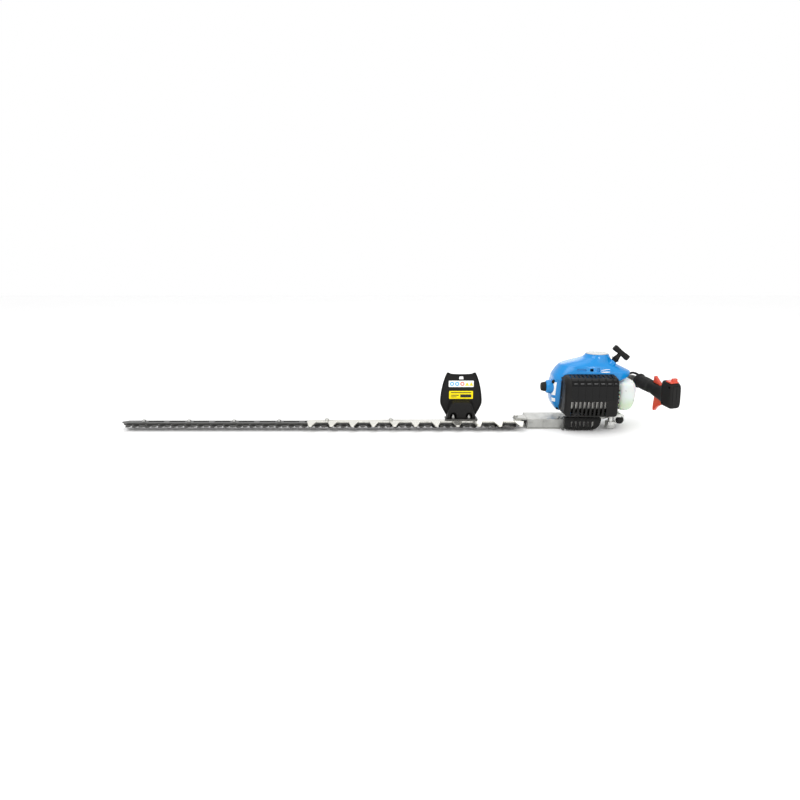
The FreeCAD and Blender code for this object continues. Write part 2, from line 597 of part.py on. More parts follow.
def cylinder():
    body = piece("cylinder")
    rod(body, ("head_end", "0", "crank_z"), "barrel_radius", "barrel_start - head_end", axis="x")
    fin = rod(body, ("barrel_start - 3 - fin_thick", "0", "crank_z"), "fin_radius", "fin_thick", axis="x")
    pattern = repeat(body, [fin], "X_Axis", "fin_pitch * (fin_count - 1)", "fin_count")
    pattern.Reversed = True
    box(body, ("barrel_start - 3", "barrel_start"), ("-barrel_square", "barrel_square"),
        ("crank_z - barrel_square", "crank_z + barrel_square"))
    box(body, ("intake_x - 14", "intake_x + 14"), ("-port_half", "port_half"),
        ("crank_z - 11", "crank_z + 11"))
    rod(body, ("barrel_end", "0", "crank_z"), "bore_radius", "60", axis="x", cut=True)
    rod(body, ("head_end - 1", "0", "crank_z"), "plug_hex / 2", "8", axis="x", cut=True)
    plug = piece("spark_plug")
    rod(plug, ("head_end", "0", "crank_z"), "plug_hex / 2", "6", axis="x")
    rod(plug, ("head_end - 9", "0", "crank_z"), "plug_hex", "9", axis="x")
    rod(plug, ("plug_end", "0", "crank_z"), "3.5", "head_end - 9 - plug_end", axis="x")
    boot = piece("spark_plug_boot")
    rod(boot, ("boot_end", "0", "crank_z"), "boot_radius - 2", "11", axis="x", tip="boot_radius")
    rod(boot, ("boot_flare", "0", "crank_z"), "6.5", "head_end - 11 - boot_flare", axis="x")
    rod(boot, ("plug_end", "0", "crank_z"), "3.5", "40", axis="x", cut=True)


def flywheel():
    body = piece("flywheel")
    rod(body, ("0", "0", "flywheel_base"), "flywheel_radius", "flywheel_rim - flywheel_base")
    rod(body, ("0", "0", "flywheel_base"), "12", "flywheel_top - flywheel_base")
    vane = box(body, ("14", "flywheel_radius - 1"), ("-1", "1"), ("flywheel_rim - 1", "flywheel_top"))
    ring_of(body, [vane], "vane_count")
    rod(body, ("0", "0", "flywheel_base - 1"), "journal_radius", "flywheel_top", cut=True)


# ---- recoil starter ------------------------------------------------------------------------------

def pull_frame():
    """The starter handle's frame: its +Z is the way the rope is pulled."""
    tilt = Rotation(Vector(0, 1, 0), SIZES["pull_tilt"])
    return Placement(Vector(SIZES["pull_x"], SIZES["pull_y"], SIZES["pull_z"]), tilt)


def starter():
    pulley = piece("starter_pulley")
    rod(pulley, ("0", "0", "pulley_base"), "pulley_radius", "3")
    rod(pulley, ("0", "0", "pulley_base"), "rope_wind - rope_radius - 0.1", "pulley_top - pulley_base")
    rod(pulley, ("0", "0", "pulley_top - 3"), "pulley_radius", "3")
    rod(pulley, ("0", "0", "pulley_base - 1"), "5.08", "20", cut=True)
    spring = piece("recoil_spring")
    rod(spring, ("0", "0", "pulley_top + 0.5"), "pulley_radius - 3", "spring_top - pulley_top - 0.5")
    rod(spring, ("0", "0", "pulley_top"), "8", "20", cut=True)
    guide = piece("rope_guide", pull_frame())
    rod(guide, ("0", "0", "guide_low"), "7.5", "guide_high - 5 - guide_low")
    rod(guide, ("0", "0", "guide_high - 5"), "7.5", "5", tip="guide_radius")
    rod(guide, ("0", "0", "guide_low - 1"), "rope_radius + 0.4", "20", cut=True)
    handle = piece("starter_handle", pull_frame())
    bar = rod(handle, ("-grip_bar", "0", "0"), "grip_bar_radius", "2 * grip_bar", axis="x")
    soften(handle, bar, "3")
    rod(handle, ("0", "0", "guide_high + 0.4"), "8", "-guide_high - 2", tip="6")
    rod(handle, ("0", "0", "guide_high"), "rope_radius + 0.1", "4 - guide_high", cut=True)
    pull = pull_frame()
    bend = pull.multVec(Vector(0, 0, -42))
    wind = Vector(0, SIZES["pull_y"], bend.z)
    tube("starter_rope", [wind, bend, pull.multVec(Vector(0, 0, 2))], SIZES["rope_radius"])


# ---- covers and guards ---------------------------------------------------------------------------

HOOD = [
    ("-120", "hood_open_z"), ("-118", "142"), ("-100", "172"), ("-73", "182"), ("-40", "192"),
    ("-31", "201"),
    ("33", "201"), ("42", "181"), ("55", "173"), ("76", "162"), ("90", "156"), ("88", "142"),
    ("72", "hood_open_z"),
]
HOOD_INSIDE = [
    ("-116", "hood_open_z - 2"), ("-115", "141"), ("-98", "169"), ("-72", "179"), ("-39", "189"),
    ("-30", "198"),
    ("32", "198"), ("40", "178.5"), ("53", "170.5"), ("75", "159"), ("87", "154"), ("85", "143"),
    ("70", "hood_open_z - 2"),
]
HOOD_SECTIONS = (("0", 0.82), ("26", 0.98), ("65", 1), ("hood_back - hood_front", 0.72))
NOSE = [
    ("-100", "45"), ("-122", "90"), ("-120", "hood_open_z"), ("hood_open_x", "hood_open_z"),
    ("hood_open_x", "45"),
]
NOSE_INSIDE = [
    ("-97", "40"), ("-119", "90"), ("-117", "hood_open_z + 1"), ("hood_open_x + 1", "hood_open_z + 1"),
    ("hood_open_x + 1", "40"),
]


def hood_loft(body, points, inset, cut=False):
    """A loft through the hood's cross-sections, each shrunk about the middle of its open underside."""
    sketches = []
    for step, share in HOOD_SECTIONS:
        shrunk = [
            (f"hood_mid + ({across} - hood_mid) * {share}", f"hood_open_z + ({up} - hood_open_z) * {share}")
            for across, up in points
        ]
        squeeze = f"1 - 2 * {inset} / (hood_back - hood_front)"
        place = f"hood_front + {inset} + ({step}) * ({squeeze})"
        sketches.append(outline(body, "XZ_Plane", shrunk, f"-({place})"))
    loft = body.newObject("PartDesign::SubtractiveLoft" if cut else "PartDesign::AdditiveLoft", "loft")
    loft.Profile = sketches[0]
    loft.Sections = sketches[1:]
    loft.Ruled = True
    return loft


def engine_cover():
    body = piece("engine_cover")
    hood_loft(body, HOOD, "0")
    wall(body, NOSE, "hood_back - 8", "hood_back - 8 - nose_side")
    hood_loft(body, HOOD_INSIDE, "skin", cut=True)
    wall(body, NOSE_INSIDE, "hood_back - 8 - skin", "hood_back - 8 - nose_side - 2 * skin", cut=True)
    box(body, ("-96", "hood_open_x + 1"), ("nose_side - 1", "nose_side + 5"), ("44", "hood_open_z - 0.5"),
        cut=True)
    rod(body, ("-134", "0", "crank_z"), "boot_radius + 3", "16", axis="x")
    rod(body, ("-135", "0", "crank_z"), "boot_radius", "22", axis="x", cut=True)
    rod(body, ("0", "0", "196"), "30", "7")
    rod(body, ("0", "0", "crank_top + 1"), "5", "24.6")
    rope_hole = pull_frame().multiply(Placement(Vector(0, 0, SIZES["guide_low"] - 9), UPRIGHT))
    rod(body, None, "7.6", "30", cut=True, frame=rope_hole)
    box(body, ("-98", "-38"), ("hood_back - 13", "hood_back + 1"), ("50", "132"), cut=True)
    box(body, ("52", "92"), ("26", "54"), ("132", "150"), cut=True)


def muffler():
    body = piece("muffler")
    can = box(body, ("muffler_left", "muffler_right"), ("muffler_front", "muffler_back"),
              ("muffler_base", "muffler_top"))
    soften(body, can, "6")
    box(body, ("muffler_left + 3", "muffler_right - 3"), ("muffler_front + 3", "muffler_back - 3"),
        ("muffler_base + 3", "muffler_top - 3"), cut=True)
    box(body, ("intake_x - 12", "intake_x + 12"), ("muffler_back - 3", "-port_half"),
        ("crank_z - 9", "crank_z + 9"))
    rod(body, ("intake_x", "muffler_back - 4", "crank_z"), "6", "20", axis="y", cut=True)


def muffler_guard():
    body = piece("muffler_guard")
    shell = box(body, ("guard_left", "guard_right"), ("guard_front", "hood_front - 0.4"),
                ("guard_base", "guard_top"))
    soften(body, shell, "guard_round")
    wall(body, [
        ("guard_left", "guard_top - 12"), ("guard_right", "guard_top - 12"),
        ("guard_right - 8", "guard_rise"), ("guard_left + 8", "guard_rise"),
    ], "hood_front - 0.4", "12")
    box(body, ("guard_left + skin", "guard_right - skin"), ("guard_front + skin", "0"),
        ("guard_base + skin", "guard_top - skin"), cut=True)
    box(body, ("guard_left", "guard_left + skin"), ("guard_front + 20", "nose_side - 0.5"),
        ("guard_base + 9", "hood_open_z - 0.5"))
    slot = box(body, ("first_slot", "first_slot + slot_open"),
        ("guard_front - 1", "guard_front + skin + 1"),
               ("slot_low", "slot_high"), cut=True)
    repeat(body, [slot], "X_Axis", "slot_pitch * (slot_count - 1)", "slot_count")
    for low, high in (("60", "86"), ("92", "122")):
        for start in ("guard_front + 12", "guard_front + 25"):
            box(body, ("guard_left - 1", "guard_left + skin + 1"), (start, f"{start} + 7"), (low, high),
                cut=True)


def lower_guard():
    body = piece("lower_guard")
    wall(body, [
        ("lower_left", "lower_base"), ("lower_right - lower_round", "lower_base"),
        ("lower_right - lower_round / 4", "lower_base + lower_round / 3"),
        ("lower_right", "lower_base + lower_round"), ("lower_right", "lower_top"),
        ("lower_left", "lower_top"),
    ], "lower_back", "lower_back - lower_front")
    box(body, ("lower_left + skin", "lower_right - 8"), ("lower_front + skin", "lower_back + 1"),
        ("lower_base + skin + 2", "lower_top - skin"), cut=True)
    vent = box(body, ("first_vent", "first_vent + vent_open"),
        ("lower_front - 1", "lower_front + skin + 1"),
               ("vent_low", "vent_high"), cut=True)
    repeat(body, [vent], "X_Axis", "vent_pitch * (vent_count - 1)", "vent_count")


# ---- intake side ---------------------------------------------------------------------------------

def intake():
    insulator = piece("intake_insulator")
    box(insulator, ("intake_x - 13", "intake_x + 13"), ("port_half", "carb_y"),
        ("crank_z - 10", "crank_z + 10"))
    rod(insulator, ("intake_x", "31", "crank_z"), "7", "20", axis="y", cut=True)
    carb = piece("carburettor")
    block = box(carb, ("intake_x - 18", "intake_x + 18"), ("carb_y", "filter_y - 4"),
                ("crank_z - 18", "crank_z + 17"))
    soften(carb, block, "2")
    rod(carb, ("intake_x", "carb_y - 1", "crank_z"), "7", "40", axis="y", cut=True)
    base = piece("air_cleaner_base")
    x_span = ("intake_x - cleaner_half", "intake_x + cleaner_half")
    box(base, x_span, ("filter_y - 4", "filter_y"), ("cleaner_base", "cleaner_top"))
    rod(base, ("intake_x", "filter_y - 5", "crank_z"), "7", "10", axis="y", cut=True)
    filter_pad = piece("air_filter")
    box(filter_pad, ("intake_x - cleaner_half + 4", "intake_x + cleaner_half - 4"),
        ("filter_y", "filter_y + filter_thick"), ("cleaner_base + 4", "cleaner_top - 4"))
    cover = piece("air_cleaner_cover")
    lid = box(cover, x_span, ("filter_y - 12", "cleaner_y"), ("cleaner_base", "cleaner_top"))
    soften(cover, lid, "4")
    box(cover, ("intake_x - cleaner_half - 1", "intake_x + cleaner_half + 1"), ("0", "filter_y"),
        ("cleaner_base - 1", "cleaner_top + 1"), cut=True)
    box(cover, ("intake_x - cleaner_half + skin", "intake_x + cleaner_half - skin"),
        ("0", "cleaner_y - skin"),
        ("cleaner_base + skin", "cleaner_top - skin"), cut=True)
    choke = piece("choke_lever")
    rod(choke, ("intake_x - 12", "filter_y - 8.5", "cleaner_base + 1"), "4", "4", axis="y")
    box(choke, ("intake_x - 34", "intake_x - 12"), ("filter_y - 8.5", "filter_y - 4.5"),
        ("cleaner_base - 2", "cleaner_base + 4"))
    bulb = piece("primer_bulb")
    dome = rod(bulb, ("intake_x + 8", "filter_y - 17", "cleaner_base - 2"), "6", "12", tip="9")
    soften(bulb, dome, "2")


def fuel_tank():
    tank = piece("fuel_tank")
    shell = wall(tank, [
        ("tank_left", "tank_base"), ("tank_right - 16", "tank_base"), ("tank_right", "tank_base + 45"),
        ("tank_right", "tank_top"), ("tank_left", "tank_top"),
    ], "tank_back", "tank_back - tank_front")
    soften(tank, shell, "tank_round")
    rod(tank, ("cap_x", "tank_back - 3", "cap_z"), "neck_radius", "12", axis="y")
    wall(tank, [
        ("tank_left + 5", "tank_base + 5"), ("tank_right - 21", "tank_base + 5"),
        ("tank_right - 5", "tank_base + 45"), ("tank_right - 5", "tank_top - 5"),
        ("tank_left + 5", "tank_top - 5"),
    ], "tank_back - tank_wall", "tank_back - tank_front - 2 * tank_wall", cut=True)
    rod(tank, ("cap_x", "tank_back - 6", "cap_z"), "neck_radius - 3", "20", axis="y", cut=True)
    cap = piece("fuel_cap")
    rod(cap, ("cap_x", "tank_back + 0.5", "cap_z"), "cap_radius", "cap_depth", axis="y")
    rod(cap, ("cap_x", "tank_back", "cap_z"), "neck_radius + 0.1", "11", axis="y", cut=True)


# ---- rear handle ---------------------------------------------------------------------------------

def grip_frame():
    """The rear handle's frame: -Y runs from the grip's far flange to the control block."""
    turn = Rotation(Vector(0, 0, 1), SIZES["grip_turn"])
    dip = Rotation(Vector(1, 0, 0), SIZES["grip_dip"])
    return Placement(Vector(SIZES["grip_x"], SIZES["grip_y"], SIZES["grip_z"]), turn.multiply(dip))


def rear_grip():
    grip = piece("rear_grip", grip_frame())
    rod(grip, ("0", "-grip_length", "0"), "grip_radius - 1.5", "grip_length / 2", axis="y",
        tip="grip_radius")
    rod(grip, ("0", "-grip_length / 2", "0"), "grip_radius", "grip_length / 2", axis="y",
        tip="grip_radius - 1.5")
    rod(grip, ("0", "-flange_length", "0"), "flange_radius", "flange_length", axis="y")
    rod(grip, ("0", "-grip_length - 1", "0"), "pipe_radius", "grip_length + 2", axis="y", cut=True)


def handle_blocks():
    """The two halves of the neck and of the upright control block, with slots for the lever and trigger."""
    lean = "block_lean"
    for label, low, high in (("handle_shell_left", "-1", "0"), ("handle_shell_right", "0", "1")):
        body = piece(label, grip_frame())
        neck = outline(body, "YZ_Plane", [
            ("-grip_length", "-neck_half"), ("-grip_length", "neck_half"),
            ("-block_start", "neck_half + 3"),
            (f"-block_start - {lean}", "block_low + 4"), ("-grip_length - 24", "-neck_half - 5"),
        ], f"{low} * neck_half")
        pad(body, neck, "neck_half")
        block = outline(body, "YZ_Plane", [
            ("-block_start", "block_high - block_corner"), ("-block_start - block_corner", "block_high"),
            ("block_corner - block_end", "block_high"), ("-block_end", "block_high - block_corner"),
            (f"-block_end - {lean}", "block_low + block_corner"),
            (f"block_corner - block_end - {lean}", "block_low"),
            (f"-block_start - block_corner - {lean}", "block_low"),
            (f"-block_start - {lean}", "block_low + block_corner"),
        ], f"{low} * block_half")
        pad(body, block, "block_half")
        for name, floor, roof in (("lever", "0", "slot_roof"), ("trigger", "block_low", "-1")):
            box(body, ("-lever_width / 2 - lever_gap", "lever_width / 2 + lever_gap"),
                (f"-{name}_slot_far", f"-{name}_slot_near"), (floor, roof), cut=True)


def controls():
    frame = grip_frame()
    half = "lever_width / 2"
    lever = piece("lock_lever", frame)
    side_outline(lever, [
        ("-88", "9"), ("-81", "9"), ("-79", "15.5"), ("-60", "15.5"), ("-58", "32"), ("-61", "34"),
        ("-88", "18"),
    ], half)
    trigger = piece("throttle_trigger", frame)
    side_outline(trigger, [
        ("-103", "-10"), ("-72", "-10"), ("-73", "-40"), ("-75", "-54"), ("-79", "-58"), ("-85", "-50"),
        ("-102", "-43"), ("-99", "-28"),
    ], half)
    switch = piece("stop_switch", frame)
    box(switch, ("-switch_left", "switch_right"), ("-switch_far", "-switch_near"),
        ("block_high + switch_low", "block_high + switch_skirt"))
    box(switch, ("-knob_left", "switch_right"), ("-knob_far", "-knob_near"),
        ("block_high + switch_skirt - 1", "block_high + switch_high"))
    screws = piece("handle_screws", frame)
    for along, up in (("-131", "27"), ("-119", "-18")):
        rod(screws, ("block_half", along, up), "grip_screw_radius", "grip_screw_head", axis="x")


def side_outline(body, points, half):
    """An outline in YZ, padded both ways from the handle's middle plane."""
    sketch = outline(body, "YZ_Plane", points, f"-({half})")
    return pad(body, sketch, f"2 * ({half})")


def handle_pipe():
    frame = grip_frame()
    low = SIZES["clamp_z"]
    across = SIZES["clamp_x"]
    points = [
        Vector(across, -28, low), Vector(across, 84, low), Vector(across + 24, 97, 76),
        frame.multVec(Vector(0, 46, 0)), frame.multVec(Vector(0, 2 - SIZES["grip_length"], 0)),
    ]
    tube("handle_pipe", points, SIZES["pipe_radius"], SIZES["pipe_bore"])


def rear_bracket():
    """A shelf on the clutch housing, with two clamps for the handle's pipe and a round foot."""
    bracket = piece("rear_bracket")
    box(bracket, ("shelf_start", "shelf_end"), ("shelf_front", "shelf_back"), ("shelf_base", "shelf_top"))
    rod(bracket, ("0", "0", "0"), "housing_radius", "housing_top", cut=True)
    rod(bracket, ("foot_x", "foot_y", "foot_top - 1"), "foot_stem", "shelf_base + 1 - foot_top")
    rod(bracket, ("foot_x", "foot_y", "foot_base"), "foot_radius", "foot_top - foot_base")
    rod(bracket, ("foot_x", "foot_y", "0"), "bolt_radius + 1", "foot_base")
    for start in ("clamp_front", "clamp_back"):
        box(bracket, ("clamp_x - clamp_half", "clamp_x + clamp_half"), (start, f"{start} + clamp_length"),
            ("clamp_z", "shelf_base + 1"))
        rod(bracket, ("clamp_x", start, "clamp_z"), "clamp_outer", "clamp_length", axis="y")
    for start in ("clamp_front", "clamp_back"):
        rod(bracket, ("clamp_x", f"{start} - 1", "clamp_z"), "bush_radius", "clamp_length + 2", axis="y",
            cut=True)
    bushes = piece("rubber_bushes")
    for start in ("clamp_front", "clamp_back"):
        rod(bushes, ("clamp_x", start, "clamp_z"), "bush_radius", "clamp_length", axis="y")
        rod(bushes, ("clamp_x", f"{start} - 1", "clamp_z"), "pipe_radius", "clamp_length + 2", axis="y",
            cut=True)
    rod(bushes, ("clamp_x", "-31", "clamp_z"), "pipe_radius", "3", axis="y")


def throttle_cable():
    frame = grip_frame()
    rise = SIZES["cable_rise"]
    tube("throttle_cable", [
        Vector(-40, 52, 142), Vector(2, 50, 142), Vector(44, 46, 139), Vector(80, 44, 135.5),
        Vector(104, 48, 135.5), frame.multVec(Vector(0, 22, rise + 3)), frame.multVec(Vector(0, 0.3, rise)),
    ], SIZES["cable_radius"])


# ---- build, check and write ----------------------------------------------------------------------

guide_bar()
blade("upper_blade", "upper_blade_z", "first_tooth")
blade("lower_blade", "lower_blade_z", "(first_tooth + tooth_pitch / 2)")
finger_comb()
blade_bolts()
hand_shield()
shield_bracket()
shield_bolts()
front_handle()
gear_case()
cam_gear()
connecting_link("upper_link", "upper_rod_z", "upper_blade_z", "upper_rod_z - upper_blade_z")
connecting_link("lower_link", "lower_rod_z", "lower_rod_z + rod_thick",
                "lower_blade_z + blade_thick - lower_rod_z - rod_thick")
clutch()
bearings()
crankcase()
crankshaft()
piston_and_rod()
cylinder()
flywheel()
starter()
engine_cover()
muffler()
muffler_guard()
lower_guard()
intake()
fuel_tank()
rear_grip()
handle_blocks()
controls()
handle_pipe()
rear_bracket()
throttle_cable()
doc.recompute()

for thing in doc.Objects:
    if "Invalid" in thing.State or "Error" in thing.State:
        raise RuntimeError(f"{thing.Label} ({thing.Name}) failed: {thing.State}")
os.makedirs("parts", exist_ok=True)
for node in NODES:
    if node.Shape.isNull() or not node.Shape.isValid():
        raise RuntimeError(f"{node.Label} has no valid shape")
    node.Shape.exportStep(f"parts/{node.Label}.step")
print(len(NODES), "sub-parts")
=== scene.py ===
import json
import math

import bmesh
import bpy
from mathutils import Euler, Matrix, Vector

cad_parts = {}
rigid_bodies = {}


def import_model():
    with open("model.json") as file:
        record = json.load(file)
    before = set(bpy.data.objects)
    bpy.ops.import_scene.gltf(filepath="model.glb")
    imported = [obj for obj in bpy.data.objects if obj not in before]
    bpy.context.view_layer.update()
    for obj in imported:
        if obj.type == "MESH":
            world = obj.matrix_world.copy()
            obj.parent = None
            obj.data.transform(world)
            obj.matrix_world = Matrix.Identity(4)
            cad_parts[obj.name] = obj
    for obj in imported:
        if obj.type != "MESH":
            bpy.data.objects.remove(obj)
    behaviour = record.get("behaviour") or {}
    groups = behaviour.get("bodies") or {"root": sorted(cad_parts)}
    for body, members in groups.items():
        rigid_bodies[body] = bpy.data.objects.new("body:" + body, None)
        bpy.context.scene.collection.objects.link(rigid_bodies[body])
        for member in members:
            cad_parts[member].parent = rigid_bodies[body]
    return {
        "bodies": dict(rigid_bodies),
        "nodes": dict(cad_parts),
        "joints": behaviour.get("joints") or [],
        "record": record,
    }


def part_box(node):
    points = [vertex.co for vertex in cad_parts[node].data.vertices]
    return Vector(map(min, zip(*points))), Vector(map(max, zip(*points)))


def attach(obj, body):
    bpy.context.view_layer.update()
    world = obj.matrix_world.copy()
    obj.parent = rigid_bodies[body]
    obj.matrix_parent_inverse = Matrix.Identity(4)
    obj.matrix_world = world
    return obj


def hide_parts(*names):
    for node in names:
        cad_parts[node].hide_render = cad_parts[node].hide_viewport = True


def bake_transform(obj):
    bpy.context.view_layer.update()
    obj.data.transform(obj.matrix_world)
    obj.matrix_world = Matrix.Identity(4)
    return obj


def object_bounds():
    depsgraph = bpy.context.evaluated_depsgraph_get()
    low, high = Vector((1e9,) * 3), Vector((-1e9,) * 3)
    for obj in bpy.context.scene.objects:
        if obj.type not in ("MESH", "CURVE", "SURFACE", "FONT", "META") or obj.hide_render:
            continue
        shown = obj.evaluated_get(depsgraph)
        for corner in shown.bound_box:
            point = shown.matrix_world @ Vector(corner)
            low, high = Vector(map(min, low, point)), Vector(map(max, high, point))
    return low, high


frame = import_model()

CAD_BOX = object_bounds()
SCENE = bpy.context.scene
MM = 0.001


class Span:
    """The box around a CAD node, in millimetres."""

    def __init__(self, node):
        low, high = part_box(node)
        self.x0, self.y0, self.z0 = (value / MM for value in low)
        self.x1, self.y1, self.z1 = (value / MM for value in high)
        self.x = (self.x0 + self.x1) / 2
        self.y = (self.y0 + self.y1) / 2
        self.z = (self.z0 + self.z1) / 2


# ---- camera, light and floor ----

CAMERA_LENS = 31.5
CAMERA_TILT = 77
CAMERA_PLACE = (11.5, -1872, 504)
LAMPS = (
    # name, place, aim, size, power
    ("key", (-1.5, -1.7, 2.3), (-0.3, 0, 0.05), 1.6, 24),
    ("fill", (1.7, -1.9, 1.1), (0, 0, 0.1), 1.8, 8),
    ("top", (-0.1, 0.1, 2.2), (-0.1, 0, 0), 1.6, 8),
    ("back", (0.5, 2.3, 1.5), (-0.2, 0, 0.1), 1.6, 10),
    ("glint", (0.45, -1.75, 1.0), (-0.03, -0.09, 0.12), 0.3, 4),
)


def add_camera():
    SCENE.view_settings.view_transform = "Standard"
    lens = bpy.data.cameras.new("camera")
    lens.lens = CAMERA_LENS
    camera = bpy.data.objects.new("camera", lens)
    middle = (CAD_BOX[0].x + CAD_BOX[1].x) / 2
    camera.location = Vector(CAMERA_PLACE) * MM + Vector((middle, 0, 0))
    camera.rotation_euler = (math.radians(CAMERA_TILT), 0, 0)
    SCENE.collection.objects.link(camera)
    SCENE.camera = camera


def add_lights():
    for name, place, aim, size, power in LAMPS:
        lamp = bpy.data.lights.new(name, "AREA")
        lamp.size = size
        lamp.energy = power
        holder = bpy.data.objects.new(name, lamp)
        holder.location = place
        holder.rotation_euler = (Vector(aim) - Vector(place)).to_track_quat("-Z", "Y").to_euler()
        SCENE.collection.objects.link(holder)
    world = bpy.data.worlds.new("studio")
    world.use_nodes = True
    background = world.node_tree.nodes["Background"]
    background.inputs["Color"].default_value = (1, 1, 1, 1)
    background.inputs["Strength"].default_value = 1.0
    SCENE.world = world


# ---- materials ----

class Look:
    """A Principled material with procedural layers laid over its colour, roughness and surface."""

    def __init__(self, name, colour, roughness, metallic=0.0, **sockets):
        self.material = bpy.data.materials.new(name)
        self.material.use_nodes = True
        self.tree = self.material.node_tree
        self.shader = self.tree.nodes["Principled BSDF"].inputs
        self.colour = colour
        self.normal = None
        self.place = self.add("ShaderNodeTexCoord").outputs["Object"]
        settings = {"Base_Color": (*colour, 1), "Roughness": roughness, "Metallic": metallic, **sockets}
        for socket, value in settings.items():
            self.shader[socket.replace("_", " ")].default_value = value

    def add(self, kind, **inputs):
        """A node with its sockets linked or set."""
        node = self.tree.nodes.new(kind)
        for socket, value in inputs.items():
            target = node.inputs[socket.replace("_", " ")]
            if isinstance(value, bpy.types.NodeSocket):
                self.tree.links.new(value, target)
            else:
                target.default_value = value
        return node

    def noise(self, size, detail, stretch=(1, 1, 1)):
        """Noise whose lumps are about this many millimetres across."""
        scaled = self.add("ShaderNodeMapping", Vector=self.place, Scale=stretch).outputs["Vector"]
        return self.add("ShaderNodeTexNoise", Vector=scaled, Scale=1 / (size * MM), Detail=detail).outputs[0]

    def height(self):
        return self.add("ShaderNodeSeparateXYZ", Vector=self.place).outputs["Z"]

    def between(self, value, low, high, to_low=0.0, to_high=1.0):
        """The value stretched from one range to another."""
        return self.add("ShaderNodeMapRange", Value=value, From_Min=low, From_Max=high, To_Min=to_low,
                        To_Max=to_high).outputs["Result"]

    def tint(self, value, colour):
        """Another colour where the value is high."""
        mix = self.tree.nodes.new("ShaderNodeMix")
        mix.data_type = "RGBA"
        self.tree.links.new(value, mix.inputs[0])
        link = self.shader["Base Color"].links
        if link:
            self.tree.links.new(link[0].from_socket, mix.inputs[6])
        else:
            mix.inputs[6].default_value = (*self.colour, 1)
        mix.inputs[7].default_value = (*colour, 1)
        self.tree.links.new(mix.outputs[2], self.shader["Base Color"])

    def patches(self, size, detail, low, high, factor, most=1.0):
        """Lumps of noise, from low to high, that are darker or lighter by the factor."""
        self.tint(self.between(self.noise(size, detail), low, high, 0, most), shade(self.colour, factor))

    def worn(self, size, detail, low, high, stretch=(1, 1, 1)):
        """Roughness that drifts between two values."""
        noise = self.noise(size, detail, stretch)
        self.tree.links.new(self.between(noise, 0.3, 0.7, low, high), self.shader["Roughness"])

    def bump(self, value, depth, strength=0.5):
        """The surface raised by the value, on top of any bump so far. Gives the material."""
        node = self.add("ShaderNodeBump", Height=value, Strength=strength, Distance=depth * MM)
        if self.normal:
            self.tree.links.new(self.normal, node.inputs["Normal"])
        self.normal = node.outputs["Normal"]
        self.tree.links.new(self.normal, self.shader["Normal"])
        return self.material


def shade(colour, factor):
    return tuple(min(1.0, part * factor) for part in colour)


def moulded(name, colour, roughness, grain, depth, mottle=0.82, **sockets):
    """Moulded plastic: a fine pressed grain, slow colour drift and a few rubbed patches."""
    look = Look(name, colour, roughness, **sockets)
    look.patches(38, 3, 0.42, 0.68, mottle)
    look.patches(6, 6, 0.62, 0.78, 1.25, 0.5)
    look.worn(14, 5, roughness * 0.86, roughness * 1.14)
    return look.bump(look.noise(grain, 3), depth)


def cast(name, colour, roughness):
    """Cast metal: a pebbled skin with darker hollows and lighter rubbed patches."""
    grain, depth = 1.3, 0.3
    look = Look(name, colour, roughness, 0.85)
    look.patches(22, 4, 0.4, 0.7, 0.8)
    look.patches(3, 6, 0.6, 0.8, 1.2, 0.6)
    look.worn(9, 5, roughness * 0.8, roughness * 1.2)
    look.bump(look.noise(grain, 4), depth, 0.35)
    return look.bump(look.noise(grain * 9, 2), depth, 0.25)


def brushed(name, colour, roughness, stretch=(0.06, 1, 1), metallic=0.95, stain=0.7):
    """Rolled or ground metal: fine lines one way and a few dull stains."""
    look = Look(name, colour, roughness, metallic)
    lines = look.noise(0.9, 3, stretch)
    look.patches(30, 5, 0.5, 0.75, stain)
    look.tint(look.between(lines, 0.55, 0.8, 0, 0.5), shade(colour, 1.25))
    look.worn(7, 6, roughness * 0.75, roughness * 1.25, stretch)
    return look.bump(lines, 0.08, 0.35)


def muffler_steel_painted_shade(colour):
    """The muffler's plate, with painted shade darkening it to near black along its lower edge."""
    shade_start, shade_full = (Span("muffler").z0 + up for up in (17, 11))
    look = Look("steel_muffler", colour, 0.34, 0.95)
    look.patches(12, 5, 0.45, 0.75, 0.55, 0.6)
    # painted shade: the plate turns near black towards its lower edge
    look.tint(look.between(look.height(), shade_start * MM, shade_full * MM), (0.012, 0.011, 0.01))
    look.worn(7, 6, 0.28, 0.42)
    return look.bump(look.noise(0.9, 3, (1, 1, 0.15)), 0.08, 0.35)


def rubbery(name, colour, roughness):
    """Dull rubber or foam with pale dust in patches."""
    look = Look(name, colour, roughness, Specular_IOR_Level=0.16)
    look.patches(16, 4, 0.45, 0.7, 1.35)
    look.worn(5, 5, roughness * 0.9, min(1, roughness * 1.12))
    return look.bump(look.noise(0.7, 2), 0.2)


def milky_tank(colour, fuel):
    """Translucent white plastic that holds a little fuel, greener towards the bottom."""
    dry, full = (Span("fuel_tank").z0 + up for up in (38, 18))
    look = Look("tank_milky", colour, 0.32, Transmission_Weight=0.22, Subsurface_Weight=0.35,
                Subsurface_Scale=0.012, IOR=1.45)
    look.tint(look.between(look.height(), dry * MM, full * MM, 0, 0.55), fuel)
    look.patches(20, 3, 0.45, 0.7, 0.93, 0.35)
    look.worn(11, 4, 0.26, 0.4)
    return look.bump(look.noise(1.1, 3), 0.08, 0.4)


def twisted_rope(colour):
    """Cord laid in strands, with painted shade darkening the furrows between them."""
    look = Look("rope_twist", colour, 0.75)
    wave = look.add("ShaderNodeTexWave", Vector=look.place, Scale=420, Distortion=1.5).outputs["Fac"]
    # painted shade: the wave darkens the furrows between the strands
    look.tint(look.between(wave, 0.2, 0.8, 0, 0.8), shade(colour, 0.35))
    look.worn(2, 4, 0.65, 0.9)
    return look.bump(wave, 0.3, 0.6)


